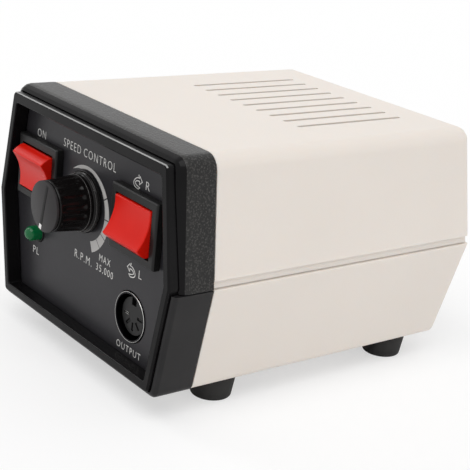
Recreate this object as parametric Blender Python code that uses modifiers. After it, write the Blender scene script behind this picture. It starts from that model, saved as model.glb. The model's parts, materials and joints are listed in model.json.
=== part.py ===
"""Control box of a bench micromotor: a two-part case, a framed front panel and what works behind it.

Axes: +X to the right of someone facing the front, +Y to the rear, +Z up. The origin is on the
standing plane, below the middle of the outside box. Every length is in metres.
"""
import math

import bmesh
import bpy
from mathutils import Matrix, Vector

# Driving dimensions: fits shared by all pieces
GAP = 0.0003
RUNNING_GAP = 0.0002
OVERRUN = 0.0020
WELD_DISTANCE = 0.00001
FINE_EDGE = 0.0003
SOFT_EDGE = 0.0006

# Driving dimensions: case
FOOT_HEIGHT = 0.0080
CASE_LENGTH = 0.1234
CASE_LOWER_HEIGHT = 0.0344
CASE_UPPER_HEIGHT = 0.0390
CASE_WAIST_HALF_WIDTH = 0.0515
CASE_TOP_LEAN = 0.0049
CASE_BASE_LEAN = 0.0059
CASE_TOP_REAR_SETBACK = 0.0044
CASE_BASE_REAR_SETBACK = 0.0045
CASE_WALL = 0.0025
CASE_FLOOR = 0.0025
COVER_FRONT_DEPTH = 0.0151
COVER_TOP_RADIUS = 0.0045
COVER_REAR_RADIUS = 0.0018
COVER_BASE_RADIUS = 0.0025
GROOVE_DEPTH = 0.0008
GROOVE_HEIGHT = 0.0023
PARTING_GAP = 0.0005

# Driving dimensions: vent slots in the top
VENT_COUNT = 9
VENT_PITCH = 0.0069
VENT_WIDTH = 0.0016
VENT_FRONT_DEPTH = 0.0605
VENT_LENGTH = 0.0450

# Driving dimensions: bezel, panel and the two surrounds
BEZEL_TOP_INSET = 0.0028
BEZEL_WAIST_INSET = 0.0017
BEZEL_BASE_INSET = 0.0020
BEZEL_BASE_RISE = 0.0016
BEZEL_WAIST_LIFT = 0.0020
BEZEL_TOP_DROP = 0.0025
BEZEL_SIDE_RIM = 0.0027
BEZEL_TOP_RIM = 0.0034
BEZEL_BASE_RIM = 0.0029
BEZEL_CORNER_RADIUS = 0.0015
BEZEL_OPENING_RADIUS = 0.0010
PANEL_DEPTH = 0.0054
PANEL_THICKNESS = 0.0020
UPPER_FRAME_FRONT_DEPTH = 0.0023
UPPER_FRAME_RADIUS = 0.0040
LOWER_FRAME_FRONT_DEPTH = 0.0012
LOWER_FRAME_RADIUS = 0.0015
FRAME_FLANGE_THICKNESS = 0.0015
FRAME_FLANGE_WIDTH = 0.0022
FRAME_WALL = 0.0022

# Driving dimensions: posts that join the covers, and their screws
POST_SIDE_INSET = 0.0066
POST_FRONT_DEPTH = 0.0460
POST_REAR_INSET = 0.0334
POST_RADIUS = 0.0040
POST_UPPER_RADIUS = 0.0032
POST_WELL_RADIUS = 0.0029
POST_WELL_HEIGHT = 0.0220
CASE_SCREW_RADIUS = 0.0014
CASE_SCREW_HEAD_RADIUS = 0.0025
CASE_SCREW_HEAD = 0.0018
CASE_SCREW_LENGTH = 0.0220

# Driving dimensions: feet and their screws
FOOT_SIDE_INSET = 0.0096
FOOT_FRONT_DEPTH = 0.0302
FOOT_REAR_INSET = 0.0189
FOOT_TOP_RADIUS = 0.0074
FOOT_BASE_RADIUS = 0.0065
FOOT_EDGE_RADIUS = 0.0008
FOOT_WELL_RADIUS = 0.0036
FOOT_WELL_DEPTH = 0.0045
FOOT_SCREW_RADIUS = 0.0015
FOOT_SCREW_HEAD_RADIUS = 0.0029
FOOT_SCREW_HEAD = 0.0020
FOOT_SCREW_LENGTH = 0.0090
FOOT_BOSS_RADIUS = 0.0034
FOOT_BOSS_HEIGHT = 0.0040

# Driving dimensions: rocker switches
SWITCH_HALF_WIDTH = 0.0120
SWITCH_HALF_HEIGHT = 0.0102
SWITCH_PROUD = 0.0026
SWITCH_BODY_HALF_WIDTH = 0.0109
SWITCH_BODY_HALF_HEIGHT = 0.0092
SWITCH_BODY_LENGTH = 0.0180
SWITCH_WELL_DEPTH = 0.0072
ROCKER_HALF_WIDTH = 0.0093
ROCKER_RIDGE_HEIGHT = 0.0060
ROCKER_RIDGE_PROUD = 0.0025
ROCKER_DISH = 0.0013
ROCKER_PIVOT_DEPTH = 0.0018
ROCKER_BACK_DEPTH = 0.0035
ROCKER_BACK_HALF_HEIGHT = 0.0050
ROCKER_PIN_RADIUS = 0.0010
ROCKER_PIN_LENGTH = 0.0010
POWER_ROCKER_TILT = math.radians(15)
DIRECTION_ROCKER_TILT = math.radians(18)
POWER_SWITCH_MARGIN = 0.0004
POWER_SWITCH_RISE = 0.0127
DIRECTION_SWITCH_MARGIN = 0.0057
DIRECTION_SWITCH_RISE = 0.0128
POWER_TERMINAL_ROW_COUNT = 2
DIRECTION_TERMINAL_ROW_COUNT = 3
TERMINAL_WIDTH = 0.0048
TERMINAL_THICKNESS = 0.0008
TERMINAL_LENGTH = 0.0065
TERMINAL_PITCH_X = 0.0110
TERMINAL_PITCH_Z = 0.0058

# Driving dimensions: speed knob and potentiometer
KNOB_X = -0.0041
KNOB_RISE = 0.0106
KNOB_REACH = 0.0152
KNOB_STANDOFF = 0.0008
KNOB_SKIRT_RADIUS = 0.0098
KNOB_SKIRT_HEIGHT = 0.0014
KNOB_LIP_RADIUS = 0.0094
KNOB_STEP_RADIUS = 0.0090
KNOB_STEP_HEIGHT = 0.0012
KNOB_BODY_RADIUS = 0.0088
KNOB_FACE_RADIUS = 0.0080
KNOB_FACE_ROUND = 0.0003
KNOB_FLUTES = 18
KNOB_FLUTE_RADIUS = 0.0014
KNOB_FLUTE_BITE = 0.0006
KNOB_FLUTE_MARGIN = 0.0018
KNOB_HOLLOW_RADIUS = 0.0070
KNOB_HOLLOW_DEPTH = 0.0036
KNOB_BORE_DEPTH = 0.0115
CAP_RADIUS = 0.0080
CAP_THICKNESS = 0.0010
CAP_SPIGOT_RADIUS = 0.0050
CAP_SPIGOT_LENGTH = 0.0010
POINTER_WIDTH = 0.0007
POINTER_DEPTH = 0.0005
POINTER_REST_ANGLE = math.radians(192)
SHAFT_RADIUS = 0.0030
POT_RADIUS = 0.0080
POT_LENGTH = 0.0095
POT_BUSH_RADIUS = 0.0041
POT_NUT_RADIUS = 0.0060
POT_NUT_THICKNESS = 0.0022
POT_BUSH_PROUD = 0.0030
POT_LUG_WIDTH = 0.0016
POT_LUG_LENGTH = 0.0070
POT_LUG_PITCH = 0.0050
POT_WELL_DEPTH = 0.0070

# Driving dimensions: five-way round socket
SOCKET_MARGIN = 0.0112
SOCKET_RISE = 0.0174
SOCKET_SHELL_RADIUS = 0.0079
SOCKET_BORE_RADIUS = 0.00725
SOCKET_PROUD = 0.0004
SOCKET_LENGTH = 0.0115
SOCKET_FLANGE_HALF_WIDTH = 0.0145
SOCKET_FLANGE_HALF_HEIGHT = 0.0090
SOCKET_FLANGE_THICKNESS = 0.0010
SOCKET_SCREW_X = 0.01115
SOCKET_SCREW_RADIUS = 0.0010
SOCKET_SCREW_HEAD_RADIUS = 0.0019
SOCKET_SCREW_HEAD = 0.0013
SOCKET_BOSS_RADIUS = 0.0024
SOCKET_BOSS_HEIGHT = 0.0030
SOCKET_SCREW_LENGTH = 0.0048
INSULATOR_RADIUS = 0.0060
INSULATOR_RECESS = 0.0011
INSULATOR_LENGTH = 0.0095
INSULATOR_SEAT_LENGTH = 0.0030
KEY_WIDTH = 0.0024
KEY_HEIGHT = 0.0026
CONTACT_CIRCLE_RADIUS = 0.0035
CONTACT_SLOT_LENGTH = 0.0027
CONTACT_SLOT_WIDTH = 0.0010
CONTACT_SLOT_DEPTH = 0.0065
CONTACT_LENGTH = 0.0120
CONTACT_ANGLES = tuple(math.radians(angle) for angle in (0, 180, 225, 270, 315))

# Driving dimensions: pilot lamp
LAMP_MARGIN = 0.0096
LAMP_DROP = 0.0089
LAMP_RADIUS = 0.0025
LAMP_REACH = 0.0052
LAMP_RIM_RADIUS = 0.0029
LAMP_RIM_LENGTH = 0.0010
LAMP_HOLDER_FLANGE_RADIUS = 0.0037
LAMP_HOLDER_FLANGE = 0.0010
LAMP_HOLDER_WALL = 0.0004
LAMP_HOLDER_PROUD = 0.0004
LAMP_LEAD_RADIUS = 0.0003
LAMP_LEAD_LENGTH = 0.0070
LAMP_LEAD_PITCH = 0.0025

# Driving dimensions: transformer
CORE_LENGTH = 0.0570
CORE_HEIGHT = 0.0475
CORE_STACK = 0.0240
CORE_LEG = 0.0095
CORE_SIDE_GAP = 0.0007
CORE_FRONT_DEPTH = 0.0340
BOBBIN_WALL = 0.0010
BOBBIN_REACH = 0.0075
WINDING_MARGIN = 0.0010
BRACKET_THICKNESS = 0.0010
BRACKET_WIDTH = 0.0160
BRACKET_FOOT = 0.0085
BRACKET_SCREW_RADIUS = 0.0015
BRACKET_SCREW_HEAD_RADIUS = 0.0029
BRACKET_SCREW_HEAD = 0.0020
BRACKET_SCREW_LENGTH = 0.0055

# Driving dimensions: circuit board and what it carries
BOARD_LEFT_GAP = 0.0017
BOARD_RIGHT_GAP = 0.0010
BOARD_FRONT_DEPTH = 0.0360
BOARD_THICKNESS = 0.0016
BOARD_RISE = 0.0055
BOARD_HOLE_INSET = 0.0032
BOARD_POST_RADIUS = 0.0026
BOARD_SCREW_RADIUS = 0.0010
BOARD_SCREW_HEAD_RADIUS = 0.0020
BOARD_SCREW_HEAD = 0.0014
BOARD_SCREW_LENGTH = 0.0050
CAPACITOR_RADIUS = 0.0080
CAPACITOR_HEIGHT = 0.0300
CAPACITOR_CRIMP = 0.0006
CAPACITOR_FRONT_INSET = 0.0060
CAPACITOR_SIDE_INSET = 0.0025
SINK_GAP = 0.0005
SINK_REAR_GAP = 0.0013
SINK_LENGTH = 0.0210
SINK_HEIGHT = 0.0260
SINK_PLATE = 0.0020
SINK_FIN_THICKNESS = 0.0012
SINK_FIN_REACH = 0.0080
SINK_FIN_COUNT = 6
SINK_INSET = 0.0012
TRANSISTOR_WIDTH = 0.0090
TRANSISTOR_THICKNESS = 0.0044
TRANSISTOR_HEIGHT = 0.0155
TRANSISTOR_LEG = 0.0035
BRIDGE_LENGTH = 0.0200
BRIDGE_THICKNESS = 0.0036
BRIDGE_HEIGHT = 0.0150
BRIDGE_INSET = 0.0015
HEADER_LENGTH = 0.0065
HEADER_WIDTH = 0.0058
HEADER_HEIGHT = 0.0090
HEADER_WALL = 0.0009

# Driving dimensions: rear panel and its window
REAR_PANEL_SETBACK = 0.0094
REAR_PANEL_THICKNESS = 0.0020
REAR_PANEL_SIDE_MARGIN = 0.0081
REAR_PANEL_BASE_RISE = 0.0062
REAR_PANEL_TOP_DROP = 0.0078
REAR_LAND = 0.0015
REAR_COLLAR_WALL = 0.0015
REAR_WINDOW_RADIUS = 0.0030

# Driving dimensions: mains inlet
INLET_MARGIN = 0.0045
INLET_RISE = 0.0230
INLET_FLANGE_HALF_WIDTH = 0.0155
INLET_FLANGE_HALF_HEIGHT = 0.0123
INLET_FLANGE_THICKNESS = 0.0026
INLET_HALF_WIDTH = 0.0136
INLET_HALF_HEIGHT = 0.0101
INLET_BODY_LENGTH = 0.0170
INLET_WELL_HALF_WIDTH = 0.0121
INLET_WELL_HALF_HEIGHT = 0.0083
INLET_WELL_DEPTH = 0.0160
INLET_CORNER = 0.0045
INLET_PIN_HEIGHT = 0.0040
INLET_PIN_THICKNESS = 0.0020
INLET_PIN_PITCH = 0.0070
INLET_PIN_RISE = 0.0020
INLET_PIN_RECESS = 0.0020
INLET_TAB_LENGTH = 0.0070

# Driving dimensions: fuse holder
FUSE_RISE = 0.0156
FUSE_FLANGE_RADIUS = 0.0078
FUSE_FLANGE_THICKNESS = 0.0015
FUSE_BODY_RADIUS = 0.0060
FUSE_BODY_LENGTH = 0.0290
FUSE_BORE_RADIUS = 0.0034
FUSE_BORE_DEPTH = 0.0243
FUSE_NUT_RADIUS = 0.0085
FUSE_NUT_THICKNESS = 0.0030
FUSE_CAP_RADIUS = 0.0056
FUSE_CAP_HEIGHT = 0.0038
FUSE_CAP_SLOT = 0.0012
FUSE_CAP_STEM = 0.0040
FUSE_CAP_RIBS = 12
FUSE_CAP_RIB_RADIUS = 0.0006
FUSE_RADIUS = 0.0026
FUSE_LENGTH = 0.0200
FUSE_END_LENGTH = 0.0050
FUSE_GLASS_RADIUS = 0.0023

# Driving dimensions: foot-control jack
JACK_MARGIN = 0.0069
JACK_RISE = 0.0210
JACK_BUSH_RADIUS = 0.0046
JACK_BORE_RADIUS = 0.0033
JACK_BUSH_PROUD = 0.0042
JACK_NUT_RADIUS = 0.0066
JACK_NUT_THICKNESS = 0.0024
JACK_BODY_HALF_WIDTH = 0.0075
JACK_BODY_HALF_HEIGHT = 0.0060
JACK_BODY_LENGTH = 0.0180
JACK_BORE_DEPTH = 0.0200

# Driving dimensions: voltage selector
SELECTOR_MARGIN = 0.0070
SELECTOR_RISE = 0.0156
SELECTOR_FLANGE_HALF_WIDTH = 0.0125
SELECTOR_FLANGE_HALF_HEIGHT = 0.0060
SELECTOR_FLANGE_THICKNESS = 0.0010
SELECTOR_BODY_HALF_WIDTH = 0.0105
SELECTOR_BODY_HALF_HEIGHT = 0.0052
SELECTOR_BODY_LENGTH = 0.0090
SELECTOR_WELL_HALF_WIDTH = 0.0065
SELECTOR_WELL_HALF_HEIGHT = 0.0025
SELECTOR_WELL_DEPTH = 0.0045
SLIDER_LENGTH = 0.0060
SLIDER_PROUD = 0.0008
SLIDER_SLOT = 0.0010

# Facets round a circle, by how large the circle shows
FINE_FACETS = 36
ROUND_FACETS = 24
PLAIN_FACETS = 12
SMALL_FACETS = 8
CORNER_STEPS = 4

# Places worked out from the sizes above
KNOB_PROUD = KNOB_REACH - PANEL_DEPTH
FRONT_Y = -(CASE_LENGTH + KNOB_PROUD) / 2 + KNOB_PROUD
BASE_Z = FOOT_HEIGHT
WAIST_Z = BASE_Z + CASE_LOWER_HEIGHT
TOP_Z = WAIST_Z + CASE_UPPER_HEIGHT
FLOOR_Z = BASE_Z + CASE_FLOOR
CASE_TOP_HALF_WIDTH = CASE_WAIST_HALF_WIDTH - CASE_TOP_LEAN
CASE_BASE_HALF_WIDTH = CASE_WAIST_HALF_WIDTH - CASE_BASE_LEAN
POST_X = CASE_BASE_HALF_WIDTH - POST_SIDE_INSET
FOOT_X = CASE_BASE_HALF_WIDTH - FOOT_SIDE_INSET


def at_depth(depth):
    """The Y of a plane that lies this far behind the front of the bezel."""
    return FRONT_Y + depth


PANEL_Y = at_depth(PANEL_DEPTH)
PANEL_BACK_Y = PANEL_Y + PANEL_THICKNESS
REAR_PANEL_Y = at_depth(CASE_LENGTH - REAR_PANEL_SETBACK)
REAR_FACE_Y = REAR_PANEL_Y + REAR_PANEL_THICKNESS
REAR_PANEL_HALF_WIDTH = CASE_TOP_HALF_WIDTH - REAR_PANEL_SIDE_MARGIN

POWER_SWITCH_Z = WAIST_Z + POWER_SWITCH_RISE
DIRECTION_SWITCH_Z = WAIST_Z + DIRECTION_SWITCH_RISE
KNOB_Z = WAIST_Z + KNOB_RISE
LAMP_Z = WAIST_Z - LAMP_DROP
SOCKET_Z = BASE_Z + SOCKET_RISE

INLET_X = REAR_PANEL_HALF_WIDTH - INLET_MARGIN - INLET_FLANGE_HALF_WIDTH
INLET_Z = BASE_Z + INLET_RISE
FUSE_X = INLET_X
FUSE_Z = WAIST_Z + FUSE_RISE
JACK_X = JACK_MARGIN + JACK_NUT_RADIUS - REAR_PANEL_HALF_WIDTH
JACK_Z = BASE_Z + JACK_RISE
SELECTOR_X = SELECTOR_MARGIN + SELECTOR_FLANGE_HALF_WIDTH - REAR_PANEL_HALF_WIDTH
SELECTOR_Z = WAIST_Z + SELECTOR_RISE

BOBBIN_HALF_WIDTH = CORE_STACK / 2 + GAP + BOBBIN_REACH
CORE_X = BOBBIN_HALF_WIDTH + CORE_SIDE_GAP + POST_RADIUS - POST_X
BOARD_LEFT = CORE_X + BOBBIN_HALF_WIDTH + BOARD_LEFT_GAP
BOARD_WIDTH = POST_X - POST_RADIUS - BOARD_RIGHT_GAP - BOARD_LEFT
HEADERS_END = 2 * BOARD_HOLE_INSET + 2 * HEADER_LENGTH + HEADER_WALL
SINK_START = max(CAPACITOR_FRONT_INSET + 2 * CAPACITOR_RADIUS, HEADERS_END) + SINK_GAP
BOARD_LENGTH = SINK_START + SINK_LENGTH + SINK_REAR_GAP + BOARD_SCREW_HEAD_RADIUS + BOARD_HOLE_INSET


def clear_scene():
    """Remove whatever the file opens with."""
    for obj in list(bpy.data.objects):
        bpy.data.objects.remove(obj, do_unlink=True)


clear_scene()
PARTS = bpy.data.collections.new("micromotor_control_box")
CUTTERS = bpy.data.collections.new("cutters")
for collection in (PARTS, CUTTERS):
    bpy.context.scene.collection.children.link(collection)


def make_material(name, color, roughness, metallic=0.0):
    """A Principled material with one colour."""
    material = bpy.data.materials.new(name)
    material.use_nodes = True
    shader = material.node_tree.nodes["Principled BSDF"]
    shader.inputs["Base Color"].default_value = (*color, 1.0)
    shader.inputs["Roughness"].default_value = roughness
    shader.inputs["Metallic"].default_value = metallic
    return material


BEIGE_ABS = make_material("beige_abs", (0.73, 0.67, 0.60), 0.5)
BLACK_ABS = make_material("black_abs", (0.028, 0.027, 0.027), 0.45)
PANEL_GREY = make_material("panel_grey", (0.065, 0.063, 0.070), 0.55)
RED_NYLON = make_material("red_nylon", (0.55, 0.020, 0.012), 0.3)
BLACK_NYLON = make_material("black_nylon", (0.012, 0.012, 0.012), 0.5)
KNOB_GREY = make_material("knob_grey", (0.065, 0.062, 0.062), 0.5)
GREEN_LENS = make_material("green_lens", (0.008, 0.16, 0.045), 0.15)
HOLDER_BLACK = make_material("holder_black", (0.02, 0.02, 0.02), 0.35)
RUBBER = make_material("rubber", (0.016, 0.016, 0.017), 0.8)
NICKEL = make_material("nickel", (0.60, 0.59, 0.56), 0.25, 1.0)
ZINC_STEEL = make_material("zinc_steel", (0.55, 0.55, 0.56), 0.35, 1.0)
CORE_STEEL = make_material("core_steel", (0.12, 0.12, 0.13), 0.5, 0.8)
WINDING_TAPE = make_material("winding_tape", (0.62, 0.42, 0.08), 0.5)
BOARD_GREEN = make_material("board_green", (0.02, 0.14, 0.05), 0.4)
ALUMINIUM = make_material("aluminium", (0.70, 0.71, 0.72), 0.35, 1.0)
SLEEVE_BLUE = make_material("sleeve_blue", (0.02, 0.04, 0.18), 0.35)
NATURAL_NYLON = make_material("natural_nylon", (0.75, 0.73, 0.66), 0.5)
GLASS = make_material("glass", (0.80, 0.84, 0.82), 0.05)


def add_object(name, bm, place=(0, 0, 0)):
    """Turn a bmesh into an object of the part, standing at a place."""
    mesh = bpy.data.meshes.new(name)
    bm.to_mesh(mesh)
    bm.free()
    obj = bpy.data.objects.new(name, mesh)
    obj.location = place
    PARTS.objects.link(obj)
    return obj


def box(name, low, high, place=None):
    """A box between two opposite corners."""
    low, high = Vector(low), Vector(high)
    place = (low + high) / 2 if place is None else Vector(place)
    bm = bmesh.new()
    bmesh.ops.create_cube(bm, size=1)
    bmesh.ops.scale(bm, vec=high - low, verts=bm.verts)
    bmesh.ops.translate(bm, vec=(low + high) / 2 - place, verts=bm.verts)
    return add_object(name, bm, place)


def rod(name, radius, start, end, facets=PLAIN_FACETS, end_radius=None, place=None):
    """A round bar or a cone between the centres of its two ends."""
    start, end = Vector(start), Vector(end)
    place = (start + end) / 2 if place is None else Vector(place)
    run = end - start
    bm = bmesh.new()
    bmesh.ops.create_cone(bm, cap_ends=True, segments=facets, radius1=radius,
                          radius2=radius if end_radius is None else end_radius, depth=run.length)
    turn = Vector((0, 0, 1)).rotation_difference(run).to_matrix().to_4x4()
    bm.transform(Matrix.Translation((start + end) / 2 - place) @ turn)
    obj = add_object(name, bm, place)
    shade_round(obj)
    return obj


def shade_round(obj, limit=math.radians(40)):
    """Smooth shading that keeps the real edges sharp."""
    obj.data.shade_smooth()
    obj.data.set_sharp_from_angle(angle=limit)


FRONTWARD = Matrix.Rotation(math.pi / 2, 4, "X")
REARWARD = Matrix.Rotation(-math.pi / 2, 4, "X")
UPWARD = Matrix.Identity(4)
DOWNWARD = Matrix.Rotation(math.pi, 4, "X")


def turned(name, profile, place, facing, facets=FINE_FACETS):
    """A turned solid. The profile is (radius, height) down its outer side; height runs along facing."""
    mesh = bpy.data.meshes.new(name)
    count = len(profile)
    closed = profile[0][0] > 0 and profile[-1][0] > 0
    edges = [(i, i + 1) for i in range(count - 1)] + ([(count - 1, 0)] if closed else [])
    mesh.from_pydata([(radius, 0, height) for radius, height in profile], edges, [])
    obj = bpy.data.objects.new(name, mesh)
    obj.matrix_world = Matrix.Translation(place) @ facing
    PARTS.objects.link(obj)
    screw = obj.modifiers.new("turn", "SCREW")
    screw.axis = "Z"
    screw.steps = screw.render_steps = facets
    screw.use_merge_vertices = True
    screw.merge_threshold = WELD_DISTANCE
    screw.use_smooth_shade = True
    return obj


PLANE_TURNS = {
    "XY": Matrix.Identity(4),
    "XZ": Matrix.Rotation(math.pi / 2, 4, "X"),
    "YZ": Matrix(((0, 0, 1, 0), (1, 0, 0, 0), (0, 1, 0, 0), (0, 0, 0, 1))),
}


def prism(name, outlines, plane, low, high, place=(0, 0, 0)):
    """A flat outline, with any holes after it, drawn out from low to high square to its plane."""
    curve = bpy.data.curves.new(name, "CURVE")
    curve.dimensions = "2D"
    curve.fill_mode = "BOTH"
    curve.extrude = (high - low) / 2
    for outline in outlines:
        spline = curve.splines.new("POLY")
        spline.points.add(len(outline) - 1)
        for point, (u, v) in zip(spline.points, outline):
            point.co = (u, v, 0, 1)
        spline.use_cyclic_u = True
    drawn = bpy.data.objects.new(name + "_outline", curve)
    middle = (low + high) / 2
    shift = {"XY": (0, 0, middle), "XZ": (0, middle, 0), "YZ": (middle, 0, 0)}[plane]
    drawn.matrix_world = Matrix.Translation(shift) @ PLANE_TURNS[plane]
    PARTS.objects.link(drawn)
    bpy.context.view_layer.update()
    mesh = bpy.data.meshes.new_from_object(drawn.evaluated_get(bpy.context.evaluated_depsgraph_get()))
    turn = drawn.matrix_world.copy()
    bpy.data.objects.remove(drawn, do_unlink=True)
    mesh.transform(turn)
    bm = bmesh.new()
    bm.from_mesh(mesh)
    bpy.data.meshes.remove(mesh)
    bmesh.ops.remove_doubles(bm, verts=bm.verts, dist=WELD_DISTANCE)
    if len(outlines) == 1:
        bmesh.ops.dissolve_limit(bm, angle_limit=math.radians(0.1), verts=bm.verts, edges=bm.edges)
    bmesh.ops.recalc_face_normals(bm, faces=bm.faces)
    return add_object(name, bm, place)


def inset_outline(points, insets):
    """A convex outline moved inwards, each side by its own amount; side i starts at point i."""
    count = len(points)
    middle = sum((Vector(point) for point in points), Vector((0, 0))) / count
    lines = []
    for i, inset in enumerate(insets):
        start, end = Vector(points[i]), Vector(points[(i + 1) % count])
        along = (end - start).normalized()
        inward = Vector((-along.y, along.x))
        if inward.dot(middle - start) < 0:
            inward = -inward
        lines.append((start + inward * inset, along))
    moved = []
    for i in range(count):
        (p, u), (q, v) = lines[i - 1], lines[i]
        reach = (q - p).cross(v) / u.cross(v)
        moved.append(p + u * reach)
    return [tuple(point) for point in moved]


def rounded_outline(points, radii, steps=CORNER_STEPS):
    """An outline whose corners are arcs; a radius of zero leaves its corner sharp."""
    count = len(points)
    result = []
    for i, radius in enumerate(radii):
        corner = Vector(points[i])
        if radius <= 0:
            result.append(tuple(corner))
            continue
        before = (Vector(points[i - 1]) - corner).normalized()
        after = (Vector(points[(i + 1) % count]) - corner).normalized()
        half = before.angle(after) / 2
        centre = corner + (before + after).normalized() * radius / math.sin(half)
        start = corner + before * radius / math.tan(half) - centre
        end = corner + after * radius / math.tan(half) - centre
        sweep = start.angle_signed(end)
        for step in range(steps + 1):
            turn = Matrix.Rotation(-sweep * step / steps, 2)
            result.append(tuple(centre + turn @ start))
    return result


def rectangle(centre, half_width, half_height):
    """Corners of a rectangle, in order."""
    x, z = centre
    return [(x - half_width, z - half_height), (x + half_width, z - half_height),
            (x + half_width, z + half_height), (x - half_width, z + half_height)]


def circle(centre, radius, facets=PLAIN_FACETS):
    """Points round a circle."""
    x, z = centre
    angles = [2 * math.pi * i / facets for i in range(facets)]
    return [(x + radius * math.cos(a), z + radius * math.sin(a)) for a in angles]


def make_cutter(obj):
    """Move an object to the cutters, where it isn't a part."""
    PARTS.objects.unlink(obj)
    CUTTERS.objects.link(obj)
    obj.hide_render = True
    obj.display_type = "WIRE"
    return obj


def boolean(obj, tool, operation):
    """A Boolean modifier that works with the tool, which leaves the part."""
    make_cutter(tool)
    modifier = obj.modifiers.new(tool.name, "BOOLEAN")
    modifier.operation = operation
    modifier.solver = "EXACT"
    modifier.object = tool
    return obj


def cut(obj, tool):
    """Take the tool away from the object."""
    return boolean(obj, tool, "DIFFERENCE")


def join(obj, tool):
    """Make the tool one solid with the object."""
    return boolean(obj, tool, "UNION")


def weigh_edges(obj, share_of):
    """Mark how much of its width a Bevel by weight takes at each edge, from the edge's two ends."""
    weights = obj.data.attributes.new("bevel_weight_edge", "FLOAT", "EDGE")
    bm = bmesh.new()
    bm.from_mesh(obj.data)
    bm.edges.ensure_lookup_table()
    for edge in bm.edges:
        real = len(edge.link_faces) == 2 and edge.calc_face_angle() > math.radians(5)
        weights.data[edge.index].value = real * float(share_of(edge.verts[0].co, edge.verts[1].co))
    bm.free()


def bevel(obj, width, segments, weighted=False, angle=math.radians(50)):
    """Round the weighed edges, or every edge sharper than the angle."""
    modifier = obj.modifiers.new("round", "BEVEL")
    modifier.width = width
    modifier.segments = segments
    modifier.limit_method = "WEIGHT" if weighted else "ANGLE"
    modifier.angle_limit = angle
    return obj


def finish(obj, material, parent=None):
    """Give a piece its material, and its parent if it has one."""
    obj.data.materials.clear()
    obj.data.materials.append(material)
    if parent is not None:
        place = obj.matrix_world.copy()
        obj.parent = parent
        obj.matrix_parent_inverse = parent.matrix_world.inverted()
        obj.matrix_world = place
    return obj


def build_screw(name, place, facing, shank_radius, length, head_radius, head_height):
    """A pan-head screw: its head sits on the plane at its place, towards facing, and its shank goes away."""
    crown = head_height / 3
    profile = [(0, head_height), (head_radius - crown, head_height), (head_radius, head_height - crown),
               (head_radius, 0), (shank_radius, 0), (shank_radius, crown - length),
               (shank_radius - crown, -length), (0, -length)]
    finish(turned(name, profile, place, facing, SMALL_FACETS), ZINC_STEEL)


# Case

def case_outline():
    """The six-sided outline of the case seen from the front, anticlockwise from the lower left."""
    return [(-CASE_BASE_HALF_WIDTH, BASE_Z), (CASE_BASE_HALF_WIDTH, BASE_Z),
            (CASE_WAIST_HALF_WIDTH, WAIST_Z), (CASE_TOP_HALF_WIDTH, TOP_Z),
            (-CASE_TOP_HALF_WIDTH, TOP_Z), (-CASE_WAIST_HALF_WIDTH, WAIST_Z)]


def bezel_outline():
    """The outline of the bezel, in the same order."""
    base, waist = BASE_Z + BEZEL_BASE_RISE, WAIST_Z + BEZEL_WAIST_LIFT
    top = TOP_Z - BEZEL_TOP_DROP
    base_half = CASE_BASE_HALF_WIDTH - BEZEL_BASE_INSET
    waist_half = CASE_WAIST_HALF_WIDTH - BEZEL_WAIST_INSET
    top_half = CASE_TOP_HALF_WIDTH - BEZEL_TOP_INSET
    return [(-base_half, base), (base_half, base), (waist_half, waist), (top_half, top),
            (-top_half, top), (-waist_half, waist)]


def opening_outline():
    """The outline of the bezel's opening, in the same order."""
    side = BEZEL_SIDE_RIM
    return inset_outline(bezel_outline(), [BEZEL_BASE_RIM, side, side, BEZEL_TOP_RIM, side, side])


def opening_half_width(height):
    """Half width of the bezel's opening at a height."""
    base, waist, top = opening_outline()[1:4]
    low, high = (waist, top) if height > waist[1] else (base, waist)
    return low[0] + (high[0] - low[0]) * (height - low[1]) / (high[1] - low[1])


POWER_SWITCH_X = (POWER_SWITCH_MARGIN + SWITCH_HALF_WIDTH
                  - opening_half_width(POWER_SWITCH_Z + SWITCH_HALF_HEIGHT))
DIRECTION_SWITCH_X = (opening_half_width(DIRECTION_SWITCH_Z + SWITCH_HALF_HEIGHT)
                      - DIRECTION_SWITCH_MARGIN - SWITCH_HALF_WIDTH)
SOCKET_X = opening_half_width(SOCKET_Z) - SOCKET_MARGIN - SOCKET_SHELL_RADIUS
LAMP_X = LAMP_MARGIN + LAMP_HOLDER_FLANGE_RADIUS - opening_half_width(LAMP_Z)


def frustum(name, low_z, high_z, low, high):
    """A block with four leaning sides. low and high are (half width, front Y, rear Y)."""
    bm = bmesh.new()
    bmesh.ops.create_cube(bm, size=1)
    for vert in bm.verts:
        half_width, front, rear = high if vert.co.z > 0 else low
        vert.co = (math.copysign(half_width, vert.co.x), rear if vert.co.y > 0 else front,
                   high_z if vert.co.z > 0 else low_z)
    return add_object(name, bm)


def cover_section(height, upper, wall=0.0):
    """Half width and rear Y of one cover at a height, less a wall. Its planes go on past its edges."""
    if upper:
        share = (height - WAIST_Z) / CASE_UPPER_HEIGHT
        lean, setback = CASE_TOP_LEAN, CASE_TOP_REAR_SETBACK
    else:
        share = (WAIST_Z - height) / CASE_LOWER_HEIGHT
        lean, setback = CASE_BASE_LEAN, CASE_BASE_REAR_SETBACK
    return CASE_WAIST_HALF_WIDTH - lean * share - wall, at_depth(CASE_LENGTH) - setback * share - wall


def cover_block(name, low_z, high_z, front_y, upper, wall=0.0):
    """One cover's leaning planes, less a wall, as a block between two heights."""
    low_half, low_rear = cover_section(low_z, upper, wall)
    high_half, high_rear = cover_section(high_z, upper, wall)
    return frustum(name, low_z, high_z, (low_half, front_y, low_rear), (high_half, front_y, high_rear))


def is_upright_rear(a, b):
    """Whether an edge of a cover block is one of the two upright ones at the rear."""
    return min(a.y, b.y) > 0 and abs(a.z - b.z) > GROOVE_HEIGHT


def is_level(height, a, b):
    """Whether an edge of a cover block lies at a height."""
    return max(abs(a.z - height), abs(b.z - height)) < GAP


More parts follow.
